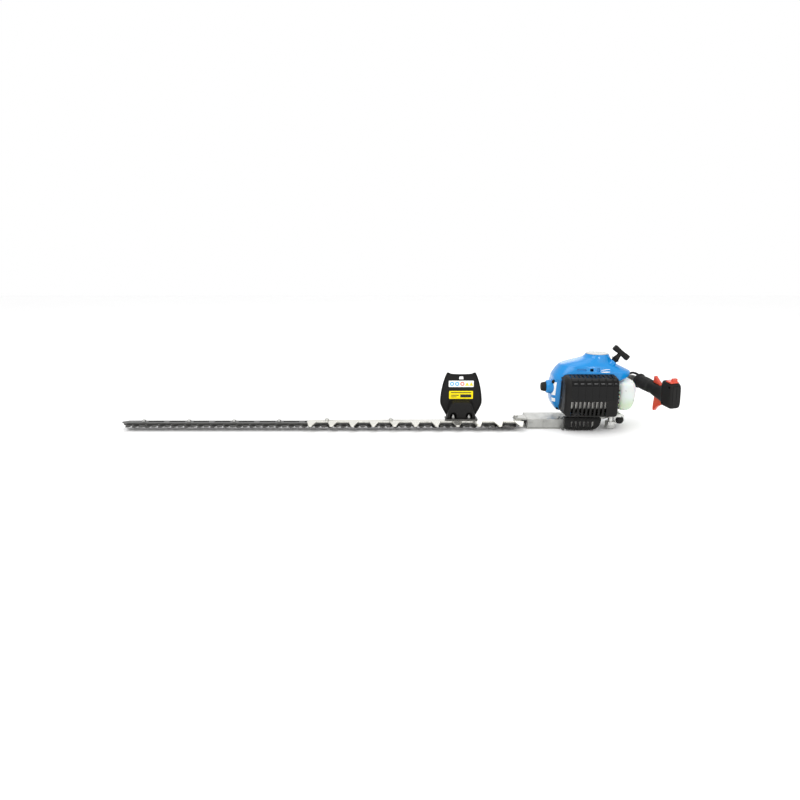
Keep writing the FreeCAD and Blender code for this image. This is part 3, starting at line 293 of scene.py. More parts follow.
def clear(name, colour):
    """Clear soft plastic, a little cloudy."""
    look = Look(name, colour, 0.12, Transmission_Weight=0.75, IOR=1.45)
    look.patches(6, 3, 0.45, 0.7, 0.8, 0.4)
    return look.bump(look.noise(2, 2), 0.06, 0.3)


def printed(name, colour):
    """Printed sticker film with a faint fibre and rubbed ink."""
    roughness = 0.38
    look = Look(name, colour, roughness, Specular_IOR_Level=0.2)
    look.patches(1.6, 4, 0.5, 0.75, 0.9, 0.5)
    look.worn(7, 4, roughness * 0.85, roughness * 1.2)
    return look.bump(look.noise(0.8, 2), 0.04, 0.3)


def painted_floor():
    look = Look("floor_paint", (0.97, 0.97, 0.97), 0.8)
    look.tint(look.between(look.noise(300, 3), 0.4, 0.7, 0, 0.3), (0.95, 0.95, 0.95))
    return look.bump(look.noise(5, 3), 0.1, 0.1)


CHARCOAL = (0.01, 0.0096, 0.0092)
BLACK = (0.0012, 0.0012, 0.0013)
BLUE = (0.0, 0.22, 0.58)
RED = (0.62, 0.055, 0.02)
WHITE = (0.85, 0.86, 0.85)

LOOKS = {
    # the record's material slots
    "bar_steel": brushed("steel_bar", (0.15, 0.15, 0.145), 0.42),
    "blade_steel": brushed("steel_blade", (0.09, 0.088, 0.085), 0.45),
    "bright_steel": brushed("steel_zinc", (0.62, 0.62, 0.6), 0.28, (1, 1, 0.2)),
    "inner_steel": brushed("steel_inner", (0.42, 0.42, 0.41), 0.32, (1, 1, 0.1)),
    "comb_alloy": brushed("alloy_comb", (0.74, 0.73, 0.67), 0.26, (0.1, 1, 1), 0.8, 0.85),
    "cast_alloy": cast("alloy_cast", (0.42, 0.42, 0.4), 0.42),
    "black_plastic": moulded("plastic_charcoal", CHARCOAL, 0.5, 0.9, 0.14, Specular_IOR_Level=0.16),
    "blue_plastic": moulded("plastic_blue", BLUE, 0.24, 1.6, 0.03, 0.93, Specular_IOR_Level=0.3,
                            Coat_Weight=0.35, Coat_Roughness=0.08),
    "tank_plastic": milky_tank((0.86, 0.9, 0.88), (0.55, 0.78, 0.42)),
    "grip_rubber": rubbery("rubber_grip", (0.014, 0.0138, 0.0135), 0.7),
    "red_plastic": moulded("plastic_red", RED, 0.36, 1.2, 0.05, 0.88, Coat_Weight=0.2),
    "filter_foam": rubbery("foam_filter", (0.05, 0.05, 0.045), 0.95),
    "clear_bulb": clear("bulb_clear", (0.8, 0.86, 0.84)),
    "rope": twisted_rope((0.7, 0.7, 0.68)),
}
GLOSS_BLACK = moulded("plastic_gloss_black", BLACK, 0.12, 2.2, 0.015, 0.8, Specular_IOR_Level=0.05,
                      Coat_Weight=0.35, Coat_Roughness=0.06)
GROUND_STEEL = brushed("steel_ground", (0.72, 0.72, 0.7), 0.22, (1, 0.08, 1))
MUFFLER_STEEL = muffler_steel_painted_shade((0.6, 0.59, 0.56))
DISC_SILVER = brushed("disc_silver", (0.42, 0.43, 0.42), 0.3, (0.1, 1, 1), 0.55, 0.85)
LABEL_WHITE = printed("label_white", WHITE)
LABEL_YELLOW = printed("label_yellow", (0.92, 0.74, 0.0))
INK = {
    "blue": printed("ink_blue", (0.12, 0.42, 0.72)),
    "red": printed("ink_red", (0.72, 0.2, 0.16)),
    "amber": printed("ink_amber", (0.9, 0.62, 0.03)),
    "black": printed("ink_black", (0.02, 0.02, 0.02)),
}


# ---- shapes ----

def mesh(name, points, faces, frame=None):
    """A mesh object from points in millimetres, in the row frame or in a frame of its own."""
    data = bpy.data.meshes.new(name)
    place = frame or Matrix()
    data.from_pydata([(place @ Vector(point)) * MM for point in points], [], faces)
    work = bmesh.new()
    work.from_mesh(data)
    bmesh.ops.remove_doubles(work, verts=work.verts, dist=0.01 * MM)
    bmesh.ops.dissolve_degenerate(work, edges=work.edges, dist=0.005 * MM)
    bmesh.ops.recalc_face_normals(work, faces=work.faces)
    work.to_mesh(data)
    work.free()
    thing = bpy.data.objects.new(name, data)
    SCENE.collection.objects.link(thing)
    return thing


def smooth(thing, angle):
    thing.data.shade_smooth()
    thing.data.set_sharp_from_angle(angle=math.radians(angle))


def modified(thing, kind, **settings):
    """The object with a modifier's result as its mesh."""
    modifier = thing.modifiers.new(kind.lower(), kind)
    for setting, value in settings.items():
        setattr(modifier, setting, value)
    bpy.context.view_layer.update()
    graph = bpy.context.evaluated_depsgraph_get()
    data = bpy.data.meshes.new_from_object(thing.evaluated_get(graph))
    thing.modifiers.clear()
    thing.data = data
    return thing


def soften(thing, width, segments, angle=30):
    """Bevels the edges that are sharper than the angle."""
    return modified(thing, "BEVEL", width=width * MM, segments=segments, limit_method="ANGLE",
                    angle_limit=math.radians(angle))


def thicken(thing, thickness):
    """A shell of this thickness, grown inwards."""
    return modified(thing, "SOLIDIFY", thickness=thickness * MM, offset=-1, use_even_offset=True)


def fuse(things, name=None):
    """One object from several, each keeping its own faces and materials."""
    first = things[0]
    with bpy.context.temp_override(active_object=first, selected_editable_objects=things, object=first):
        bpy.ops.object.join()
    if name:
        first.name = name
    return first


def carve(thing, cutters):
    """The object with the cutters' volumes taken away."""
    tool = fuse(cutters) if len(cutters) > 1 else cutters[0]
    modified(thing, "BOOLEAN", operation="DIFFERENCE", solver="EXACT", use_self=True, object=tool)
    bpy.data.objects.remove(tool)
    return thing


def loft(name, rings, closed=True, caps=True, frame=None):
    """A skin through rings of equal count; caps closes both ends, or with "last" only the last one."""
    count = len(rings[0])
    points = [point for ring in rings for point in ring]
    faces = []
    for row in range(0, len(points) - count, count):
        for step in range(count if closed else count - 1):
            after = (step + 1) % count
            faces.append((row + step, row + after, row + count + after, row + count + step))
    if caps is True:
        faces.append(tuple(range(count)))
    if caps:
        faces.append(tuple(range(len(points) - count, len(points))))
    return mesh(name, points, faces, frame)


def stack(name, layers, axis, frame=None, caps=True):
    """A skin through (level, outline) layers along an axis, their points on the other two axes."""
    def put(level, across, up):
        return {"x": (level, across, up), "y": (across, level, up), "z": (across, up, level)}[axis]
    rings = [[put(level, *point) for point in outline] for level, outline in layers]
    return loft(name, rings, caps=caps, frame=frame)


def prism(name, outline, low, high, axis, frame=None):
    """An outline pushed along an axis: "x" takes (y, z), "y" takes (x, z) and "z" takes (x, y)."""
    return stack(name, [(low, outline), (high, outline)], axis, frame)


def block(name, x, y, z, radius=0.0, segments=3, frame=None):
    """A block between two ends on each axis; a radius rounds its edges."""
    outline = [(x[0], y[0]), (x[1], y[0]), (x[1], y[1]), (x[0], y[1])]
    solid = prism(name, outline, z[0], z[1], "z", frame)
    return soften(solid, radius, segments) if radius else solid


def oval(x, y, power, count):
    """A closed superellipse between two ends on each axis; a higher power is squarer."""
    points = []
    for step in range(count):
        angle = math.tau * (step + 0.5) / count
        points.append([
            (low + high) / 2 + (high - low) / 2 * math.copysign(abs(turn) ** (2 / power), turn)
            for (low, high), turn in ((x, math.cos(angle)), (y, math.sin(angle)))
        ])
    return points


def ovals(name, rows, count, caps=True):
    """A skin through level ovals; a row has its height, its ends in X and in Y, and its squareness."""
    layers = [(z, oval((x0, x1), (y0, y1), power, count)) for z, x0, x1, y0, y1, power in rows]
    return stack(name, layers, "z", caps=caps)


def mirrored(half):
    """A half outline of (across, up), closed by its mirror image."""
    return half + [(-across, up) for across, up in reversed(half)]


def arc(middle, radius, start, end, steps):
    """Points on an arc, its angles in degrees."""
    angles = [math.radians(start + (end - start) * step / steps) for step in range(steps + 1)]
    return [(middle[0] + radius * math.cos(angle), middle[1] + radius * math.sin(angle)) for angle in angles]


def rounded(x, z, radius, steps=5):
    """A rectangle's outline with round corners."""
    corners = ((x[1] - radius, z[1] - radius), (x[0] + radius, z[1] - radius),
               (x[0] + radius, z[0] + radius), (x[1] - radius, z[0] + radius))
    return [point for turn, corner in enumerate(corners)
            for point in arc(corner, radius, 90 * turn, 90 * turn + 90, steps)]


def flow(rows, steps):
    """The rows of numbers with smooth rows between them, on a Catmull-Rom spline."""
    full = []
    for index in range(len(rows) - 1):
        four = [rows[max(index - 1, 0)], rows[index], rows[index + 1], rows[min(index + 2, len(rows) - 1)]]
        for step in range(steps):
            t = step / steps
            full.append(tuple(
                0.5 * (2 * b + (c - a) * t + (2 * a - 5 * b + 4 * c - d) * t * t
                       + (3 * b - a - 3 * c + d) * t ** 3)
                for a, b, c, d in zip(*four)
            ))
    return full + [tuple(rows[-1])]


def turned(name, profile, frame=None, count=48, ripple=None, caps=True):
    """A profile of (radius, height) turned about +Z; ripple makes its radius vary around."""
    rings = []
    for radius, height in profile:
        ring = []
        for step in range(count):
            angle = math.tau * step / count
            reach = radius * (ripple(angle, height) if ripple else 1)
            ring.append((reach * math.cos(angle), reach * math.sin(angle), height))
        rings.append(ring)
    return loft(name, rings, caps=caps, frame=frame)


def along(axis, place=(0, 0, 0)):
    """A frame whose +Z is the row frame's +X, +Y or -Y."""
    quarter = math.pi / 2
    turns = {"x": Euler((0, quarter, 0)), "y": Euler((-quarter, 0, 0)), "-y": Euler((quarter, 0, 0))}
    return Matrix.Translation(place) @ turns[axis].to_matrix().to_4x4()


def finish(thing, look, body="machine", nodes=(), angle=32):
    """Gives a piece its material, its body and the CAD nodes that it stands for."""
    if look:
        thing.data.materials.clear()
        thing.data.materials.append(look)
    smooth(thing, angle)
    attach(thing, body)
    if nodes:
        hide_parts(*nodes)


def stand_in(thing, node, slot, angle=32, body="machine"):
    """A piece in its slot's own look that stands for one CAD node."""
    finish(thing, LOOKS[slot], body, [node], angle)


# ---- frames shared with the CAD ----

GRIP_PLACE, GRIP_TURN, GRIP_DIP = (128.4, 30, 121), 22.9, 9
GRIP = (Matrix.Translation(GRIP_PLACE) @ Matrix.Rotation(math.radians(GRIP_TURN), 4, "Z")
        @ Matrix.Rotation(math.radians(GRIP_DIP), 4, "X"))
BLOCK_LEAN, BLOCK_LOW, BLOCK_HIGH = 10.5, -24, 34
BLOCK_END = (GRIP @ Matrix.Translation((0, -143.25, 5))
             @ Matrix.Rotation(-math.atan2(BLOCK_LEAN, BLOCK_HIGH - BLOCK_LOW), 4, "X"))
PULL_PLACE, PULL_TILT = (58.8, -20, 206.2), 39
PULL = Matrix.Translation(PULL_PLACE) @ Matrix.Rotation(math.radians(PULL_TILT), 4, "Y")
CRANK_Z = 110
COVER_COUNT, NOSE_END = 96, -52


# ---- cutter ----

TOOTH_PITCH, TOOTH_COUNT, TOOTH_ROOT, TOOTH_TIP = 35, 30, 21, 10
GRIND, SLOT_HALF = 3.2, 12.2
BAY_BOLTS = [-1228 + 122.5 * bay for bay in range(4)] + [-731, -557.6]


def blade(node, first, cutting_low):
    """A blade: a flat back with slots, and teeth ground away from the cutting face."""
    span = Span(node)
    end, tip, z0, z1 = span.x0, span.y0, span.z0, span.z1
    back, neck, front = -17, -226, -43
    outline = [
        (end, -30), (end + 5, -37), (end + 16, front), (neck, front), (-197, -10), (span.x1, -10),
        (span.x1, 10), (-256, 10), (-296, back), (end + 16, back), (end + 5, -23),
    ]
    slots = [block("slot", (bolt - SLOT_HALF, bolt + SLOT_HALF), (-33.5, -26.5), (z0 - 1, z1 + 1))
             for bolt in BAY_BOLTS]
    pieces = [soften(carve(prism(node + "_back", outline, z0, z1, "z"), slots), 0.25, 1)]
    root, point = TOOTH_ROOT / 2, TOOTH_TIP / 2
    outer = mirrored([(-root - 3, front + 2), (-root - 2, front - 1.5), (-root, front - 4),
                      (-point, tip + 1.2), (-point + 1.4, tip)])
    inner = [(across * (1 - GRIND / max(abs(across), GRIND + 1)), max(up, tip + GRIND))
             for across, up in outer]
    flat, ground = (z0, z1) if cutting_low else (z1, z0)
    layers = ((flat, outer), (flat + (ground - flat) * 0.15, outer), (ground, inner))
    for index in range(TOOTH_COUNT):
        middle = first + TOOTH_PITCH * index
        tooth = [(level, [(middle + across, up) for across, up in outline]) for level, outline in layers]
        pieces.append(stack(node + "_tooth", tooth, "z"))
    whole = fuse(pieces, node + "_piece")
    whole.data.materials.clear()
    whole.data.materials.append(LOOKS["blade_steel"])
    whole.data.materials.append(GROUND_STEEL)
    for face in whole.data.polygons:
        steep = 0.15 < abs(face.normal.z) < 0.85
        face.material_index = 1 if steep and face.center.y < (front - 1) * MM else 0
    finish(whole, None, node, [node], 20)


def cutter():
    """The two blades, half a tooth apart."""
    first = -1262
    blade("upper_blade", first, True)
    blade("lower_blade", first + TOOTH_PITCH / 2, False)


# ---- hand shield and front handle ----

def shield_outline(span, inset):
    """The shield's outline, from its foot to its dipped top and back."""
    z0, z1 = span.z0, span.z1
    half = flow([(36.5, z0), (46, z0 + 16), (54.5, z0 + 33), (57, z0 + 44), (55.5, z0 + 66), (51, z0 + 90),
                 (45, z0 + 110), (40.5, z1 - 3)], 4)
    half += [(38.5, z1), (34, z1), (29, z1 - 3), (20, z1 - 4), (8, z1 - 4.5)]
    middle = (z0 + z1) / 2
    half = [(across - inset * across / 50, middle + (up - middle) * (1 - inset / 62)) for across, up in half]
    return [(span.x + across, up) for across, up in mirrored(half)]


def hand_shield():
    """The shield's dished plate, with the console and its two arches at the foot."""
    span = Span("hand_shield")
    x, z0, z1 = span.x, span.z0, span.z1
    face, back = span.y1 - 3, span.y1
    plate = stack("hand_shield_piece", [(level, shield_outline(span, inset)) for inset, level in (
        (0.9, back), (0, back - 0.9), (0, face - 0.8), (0.8, face - 1.6), (2.6, face - 1.6),
        (3.4, face - 0.8), (4.2, face + 0.4))], "y")
    console = stack("shield_console", [
        (level, [(x - foot, z0), (x + foot, z0), (x + side, z0 + rise), (x + crest, z0 + rise + 5),
                 (x - crest, z0 + rise + 5), (x - side, z0 + rise)])
        for level, foot, side, crest, rise in ((face + 1, 42, 31, 24, 44), (span.y0, 39, 28, 22, 38))], "y")
    cutters = []
    for bolt in (x - 21.35, x + 21.35):
        arch = [(bolt - 9, z0 - 2)] + arc((bolt, z0 + 9), 9, 180, 0, 14) + [(bolt + 9, z0 - 2)]
        cutters.append(prism("arch", arch, span.y0 - 2, face - 1.5, "y"))
    console = carve(soften(console, 2.2, 4), cutters)
    hole = prism("hole", [(x - 6, z1 - 19), (x + 6, z1 - 19), (x + 5, z1 - 11), (x - 5, z1 - 11)], span.y0,
                 back + 3, "y")
    whole = fuse([carve(plate, [hole]), console], "hand_shield_piece")
    stand_in(whole, "hand_shield", "black_plastic", 28)
    shield_labels(x, face + 0.45)


def plaque(name, outline, level, thickness, look):
    """A flat sticker facing -Y."""
    finish(prism(name, outline, level - thickness, level, "y"), look)


def shield_labels(x, front):
    """A white label of plain signs over a yellow label of plain bars."""
    ink_front = front - 0.8
    plaque("label_signs", rounded((x - 34, x + 34), (110, 127.5), 2), front, 0.9, LABEL_WHITE)
    for index, (across, ink) in enumerate(((-25, "blue"), (-11, "blue"), (3, "red"))):
        middle = (x + across, 118.7)
        plaque(f"label_disc_{index}", arc(middle, 5.8, 0, 351, 39), ink_front, 0.25, INK[ink])
        plaque(f"label_dot_{index}", arc(middle, 2.8, 0, 345, 23), ink_front - 0.2, 0.2, LABEL_WHITE)
    for index, across in enumerate((x + 16, x + 27.5)):
        corners = [(across - 5.6, 113.6), (across + 5.6, 113.6), (across, 123.6)]
        plaque(f"label_wedge_{index}", corners, ink_front, 0.25, INK["amber"])
    plaque("label_lower", rounded((x - 32.5, x + 32.5), (77, 99), 2), front, 0.9, LABEL_YELLOW)
    bars = ((-28, 28, 93, 95.5), (-2, 28, 81, 89.5), (-28, -6, 86, 88.5), (-28, -12, 81.5, 83.5))
    for index, (start, end, low, high) in enumerate(bars):
        outline = rounded((x + start, x + end), (low, high), 0.8)
        plaque(f"label_bar_{index}", outline, ink_front, 0.2, INK["black"])


def front_grip():
    """A ribbed rubber tube between two collars."""
    span = Span("front_grip")
    length, radius = span.y1 - span.y0, (span.z1 - span.z0) / 2
    ribs, groove, crest = 14, radius * 0.87, radius * 0.93
    pitch = (length - 22) / ribs
    profile = [(radius * 0.62, 0), (radius * 0.9, 0.4), (radius, 2), (radius, 6), (crest, 8)]
    for rib in range(ribs):
        start = 10 + rib * pitch
        profile += [(groove, start), (crest, start + pitch * 0.3), (crest, start + pitch * 0.6),
                    (groove, start + pitch * 0.9)]
    profile += [(crest, length - 9), (radius, length - 7), (radius, length - 3),
                (radius * 0.85, length - 0.6), (radius * 0.5, length)]
    grip = turned("front_grip_piece", profile, along("y", (span.x, span.y0, span.z)))
    stand_in(grip, "front_grip", "grip_rubber")


# ---- engine cover ----

def nose_rows(back):
    """The nose's sections, from its foot to its join with the hood."""
    return flow([
        # height, left end, front end, inset at the back, squareness
        (z, x0, NOSE_END, y0, back - inset, power) for z, x0, y0, inset, power in (
            (45, -102.5, -12, 8, 3), (48, -106, -14, 6, 3.2), (58, -113.5, -18, 5, 3.4),
            (66, -117.5, -21, 4, 3.4), (74, -120, -23, 4, 3.4), (90, -121.8, -27, 4, 3.2),
            (106, -122, -30, 4, 3), (122, -121, -32, 4, 3), (138, -118, -34, 5, 3))
    ], 4)


def engine_cover():
    """The hood, the nose, the bulge on the crank's axis and the boss round the starter's pull."""
    span = Span("engine_cover")
    x1, front, back, top = span.x1, span.y0, span.y1, span.z1
    rows = [
        # drop from the top, ends in X, ends in Y, squareness
        (70, -119, 72, front + 1, back - 1, 3.2),
        (66, -119, 80, front, back, 3.2),
        (60, -118.5, x1 - 2.5, front, back, 3.0),
        (53, -115, x1, front, back, 2.9),
        (47, -111.5, x1 - 0.5, front + 0.5, back - 1, 2.8),
        (41, -107.5, 77, front + 2, back - 3, 2.7),
        (35, -103, 65, front + 3.5, back - 7, 2.5),
        (30, -98, 55, front + 5, back - 11, 2.4),
        (23, -80, 43.5, front + 9, back - 18, 2.2),
        (17, -58, 39, -35.5, 38, 2.1),
        (11, -40.5, 35.5, -33, 34, 2.0),
        (5.5, -33, 32.5, -31.5, 31.5, 2.0),
        (1.6, -30.6, 30.6, -30.6, 30.6, 2.0),
    ]
    rows = flow([(top - drop, *row) for drop, *row in rows], 4)
    hood = thicken(ovals("engine_cover_piece", rows, COVER_COUNT, "last"), 4.4)
    nose = thicken(ovals("nose", nose_rows(back), COVER_COUNT, False), 2.4)
    nose = carve(nose, [
        block("exhaust_side", (-96, -40), (-45, 4), (40, top - 64)),
        block("intake_side", (-98, -40), (back - 15, back + 5), (49, top - 70)),
    ])
    profile = flow([(13.9, -135.2), (16.5, -134), (18.4, -129), (19.6, -122), (20.6, -112)], 4)
    bulge = thicken(turned("bulge", profile, along("x", (0, 0, CRANK_Z)), caps=False), 2.2)
    profile = flow([(15, -62), (12.4, -52), (10.8, -44), (10.2, -36), (9.8, -30.5), (8.2, -29.2)], 4)
    boss = thicken(turned("boss", profile, PULL, caps=False), 1.8)
    rope_hole = turned("rope_hole", [(7.6, -70), (7.6, -36)], PULL)
    hood = carve(hood, [rope_hole] + hood_recesses(front))
    whole = fuse([hood, nose, bulge, boss], "engine_cover_piece")
    stand_in(whole, "engine_cover", "blue_plastic", 40)
    cover_details(top, back, whole)


def hood_recesses(front):
    """A shallow oblong recess, a small square opening and a round-ended pocket on the front face."""
    shape = rounded((-62, -38), (160, 166), 2)
    recess = loft("recess", [[(x, front - 6, z) for x, z in shape],
                             [(x, front + 8.8 - (x + 62) * 0.117, z) for x, z in shape]])
    opening = prism("opening", rounded((-28, -19), (159.5, 167), 1), front - 6, front + 12, "y")
    pocket = prism("pocket", rounded((-11, -2), (157, 169), 4), front - 6, front + 4.6, "y")
    return [recess, opening, pocket]


def ribbon(name, path, width, look, target):
    """A thin strip along a path in XZ, laid onto a curved skin along Y."""
    level = -60
    rings = []
    for share, (across, up) in enumerate(path):
        half = width * (0.35 + 0.65 * math.sin(math.pi * (share + 0.5) / len(path))) / 2
        rings.append([(across, level, up + rise) for rise in (-half, 0, half)])
    strip = loft(name, rings, closed=False, caps=False)
    modified(strip, "SHRINKWRAP", target=target, wrap_method="PROJECT", use_project_y=True,
             use_negative_direction=True, offset=0.25 * MM)
    finish(strip, look)


def cover_details(top, back, skin):
    """The starter's disc, the stripes, the nose's stickers and screws, and the spark plug's boot."""
    profile = [(radius, top - drop) for radius, drop in (
        (29.6, 1.8), (29.6, 0.5), (28.9, 0), (24, 0), (23.6, 0.35), (23.1, 0), (11, 0), (10.6, 0.35),
        (10.1, 0), (4.4, 0), (4, 0.4), (0.4, 0.4))]
    finish(turned("top_disc", profile, count=72), DISC_SILVER)
    stripe = [1 + 2.2 * step for step in range(12)]
    ribbon("stripe_low", [(x, 158.4) for x in stripe], 2.6, LABEL_WHITE, skin)
    arched = [(x, 162.3 + 2.4 * math.sin(step / 11 * math.pi / 1.6)) for step, x in enumerate(stripe)]
    ribbon("stripe_high", arched, 1.5, LABEL_WHITE, skin)
    for name, low, high in (("nose_sticker", 86, 130), ("nose_sticker_low", 70, 84)):
        rings = []
        for z, x0, x1, y0, y1, power in nose_rows(back):
            if low <= z <= high:
                edge = oval((x0 - 0.3, x1), (y0 - 0.3, y1), power, 90)
                rings.append([(x, y, z) for x, y in edge[51:59]])
        finish(loft(name, rings, closed=False, caps=False), LABEL_WHITE)
    for name, place, radius in (("nose_knob", (-118, -17, 127), 5), ("nose_screw", (-103, -9, 51), 3.4)):
        knob = turned(name, [(radius * 0.98, 0), (radius, 2.4), (radius * 0.82, 3.6), (radius * 0.45, 3.8),
                             (radius * 0.4, 2.6), (0.2, 2.6)], along("-y", place), 36)
        finish(knob, GLOSS_BLACK)
    boot = Span("spark_plug_boot")
    profile = [(radius, boot.x0 + up) for radius, up in (
        (4, 1.5), (9.5, 0.4), (11, 1.6), (12.2, 6), (13.2, 10), (13.4, 13), (12.2, 14), (6.6, 16))]
    profile += [(6.5, boot.x1), (3.6, boot.x1)]
    piece = turned("spark_boot_piece", profile, along("x", (0, 0, CRANK_Z)))
    stand_in(piece, "spark_plug_boot", "grip_rubber")


# ---- muffler guard ----

def guard_profile(span):
    """The guard's section as (y, z): from the back under edge, round the front, to the back upper edge."""
    back, front, base, top = guard_back(), span.y0, span.z0, span.z1
    under = [(back, base)] + arc((front + 9, base + 9), 9, 270, 180, 5)
    over = [(front, top - 32), (front + 0.4, top - 22), (front + 2.6, top - 15), (front + 8, top - 8.5),
            (front + 18, top - 4), (front + 32, top - 1), (back, top)]
    return under + flow(over, 4)


def guard_back():
    """The guard's shell ends where the engine cover begins."""
    return Span("engine_cover").y0 - 0.4


def guard_ring(profile, middle, place, inset_y=0.0, inset_z=0.0):
    """The section at a place along X, drawn in towards its back and its middle height."""
    back = profile[0][0]
    depth = back - min(y for y, z in profile)
    half = max(z for y, z in profile) - middle
    return [(place, back + (y - back) * (1 - inset_y / depth), middle + (z - middle) * (1 - inset_z / half))
            for y, z in profile]


def guard_shell(span):
    """The guard's skin, with a wide curve at its left end and a tighter one at its right."""
    x0, x1, left, right = span.x0, span.x1, 15, 9
    rows = []
    for step in range(8, -1, -1):
        angle = math.radians(90 * step / 8)
        fall = 1 - math.cos(angle)
        rows.append((x0 + left * (1 - math.sin(angle)), left * fall, 8 * fall))
    rows += [(x0 + left + (x1 - right - x0 - left) * step / 12,) for step in range(1, 12)]
    for step in range(7):
        angle = math.radians(90 * step / 6)
        fall = 1 - math.cos(angle)
        rows.append((x1 - right + right * math.sin(angle), right * fall, 6 * fall))
    profile, middle = guard_profile(span), (span.z0 + span.z1) / 2
    return loft("muffler_guard_piece", [guard_ring(profile, middle, *row) for row in rows], closed=False)


def muffler_guard():
    """The guard over the muffler: slots in its front and top, a side panel, serrations and gloss tiles."""
    span = Span("muffler_guard")
    x0, x1, y0, z0, z1 = span.x0, span.x1, span.y0, span.z0, span.z1
    pitch, depth = 10.9, (y0 + 17, guard_back() - 3)
    cutters = []
    for start in (x0 + 15 + pitch * index for index in range(9)):
        slot = [(start - 1.6, z0 + 5), (start + 4.2, z0 + 5), (start + 6, z0 + 42), (start, z0 + 42)]
        cutters.append(prism("slot", slot, y0 - 2, y0 + 5, "y"))
    for start in (x0 + 13 + pitch * index for index in range(11)):
        cutters.append(block("top_slot", (start, start + 3.4), depth, (z1 - 12, z1 + 3)))
    parts = [carve(thicken(guard_shell(span), 2.4), cutters)] + side_panel(span)
    for low in (z0 + level for level in (20, 34, 46, 57, 67)):
        parts.append(block("serration", (x1 - 2, x1 + 5.6), (y0 + 15, y0 + 27), (low, low + 3.6), 0.8, 2))
    stand_in(fuse(parts, "muffler_guard_piece"), "muffler_guard", "black_plastic", 30)
    gloss_panel(span)


def side_panel(span):
    """The guard's left side: a rounded panel with two rows of tall openings, and its raised rim."""
    x0, y0, y1 = span.x0, span.y0 + 8, span.y1 - 0.2
    low, high, corner, border = span.z0 + 6, span.z1 - 10, 22, 4.5
    outline = rounded((y0, y1), (low, high), corner, 9)
    panel = soften(prism("side_panel", outline, x0 - 0.2, x0 + 2.6, "x"), 0.9, 2)
    cutters = []
    for start in (y0 + 24, y0 + 39):
        for bottom, top in ((low + 8, low + 33), (low + 38, high - 10)):
            shape = rounded((start, start + 9.5), (bottom, top), 2)
            cutters.append(prism("side_slot", shape, x0 - 3, x0 + 4, "x"))
    panel = carve(panel, cutters)
    inside = rounded((y0 + border, y1 - border), (low + border, high - border), corner - border, 9)
    rim = prism("side_rim", outline, x0 - 1.2, x0 + 1.2, "x")
    rim = carve(rim, [prism("rim_hole", inside, x0 - 4, x0 + 4, "x")])
    return [panel, soften(rim, 0.5, 2)]


def gloss_panel(span):
    """Seven glossy crowned tiles over the guard's front, above its slots."""
    front, low, top, corner, crown = span.y0, span.z0 + 45.5, span.z1, 14, 0.4
    seams = [span.x0 + 14.5] + [span.x0 + 31.1 + 18.4 * index for index in range(6)] + [span.x1 - 2.4]
    rows = [(front + 0.3, low), (front - 0.4, low + 1.2)]
    rows += [(front - 0.5, z) for z in (low + 4, low + 8, low + 14, top - 32)]
    rows += [(front - 0.1, top - 21.6), (front + 2.1, top - 14.2), (front + 7.7, top - 7.7),
             (front + 14, top - 4.6), (front + 16, top - 4.4)]
    shares = [step / 8 for step in range(9)]
    tiles = []
    for index, (start, end) in enumerate(zip(seams, seams[1:])):
        left, right = start + 0.3, end - 0.3
        rings = []
        for y, z in flow(rows, 4):
            below = max(0.0, corner - (z - low)) if index == 0 else 0.0
            cut = corner - math.sqrt(max(0.0, corner ** 2 - below ** 2))
            edge = left + cut
            rings.append([(edge + (right - edge) * share, y - crown * (1 - (2 * share - 1) ** 4), z)
                          for share in shares])
        tiles.append(thicken(loft("tile", rings, closed=False, caps=False), 1.2))
    finish(fuse(tiles, "guard_gloss_panel"), GLOSS_BLACK, angle=50)


def lower_guard():
    """The open-backed plate under the guard, with a row of vents, a groove and a screw."""
    span = Span("lower_guard")
    x0, x1, y0, z0, z1 = span.x0, span.x1, span.y0, span.z0, span.z1
    outline = [(x0 + 2, z0 + 1.5), (x0 + 40, z0)] + arc((x1 - 26, z0 + 26), 26, 270, 360, 10)
    outline += [(x1, z1 - 1), (x0, z1 + 1.5)]
    solid = soften(prism("lower_guard_piece", outline, y0, span.y1, "y"), 2.4, 4, 40)
    inside = [(x0 + 3, z0 + 4), (x1 - 20, z0 + 4), (x1 - 4, z0 + 24), (x1 - 4, z1 - 3), (x0 + 3, z1 - 3)]
    cutters = [prism("cavity", inside, y0 + 2.6, span.y1 + 3, "y")]
    for start in (x0 + 15.5 + 11.2 * index for index in range(6)):
        shape = rounded((start, start + 5), (z0 + 5.6, z0 + 23), 1.2, 3)
        cutters.append(prism("vent", shape, y0 - 2, y0 + 4, "y"))
    cutters.append(block("groove", (x0 - 1, x1 + 1), (y0 - 1, y0 + 0.9), (z1 - 5.2, z1 - 3.8)))
    stand_in(carve(solid, cutters), "lower_guard", "black_plastic", 30)
    profile = [(4.2, 0), (4.2, 2.4), (3.4, 3.4), (1.7, 3.4), (1.6, 2.2), (0.2, 2.2)]
    screw = turned("lower_guard_screw", profile, along("-y", (x0 - 3, y0 + 9, z0 + 1.5)), 32)
    finish(screw, LOOKS["bar_steel"])


# ---- fuel tank and intake ----

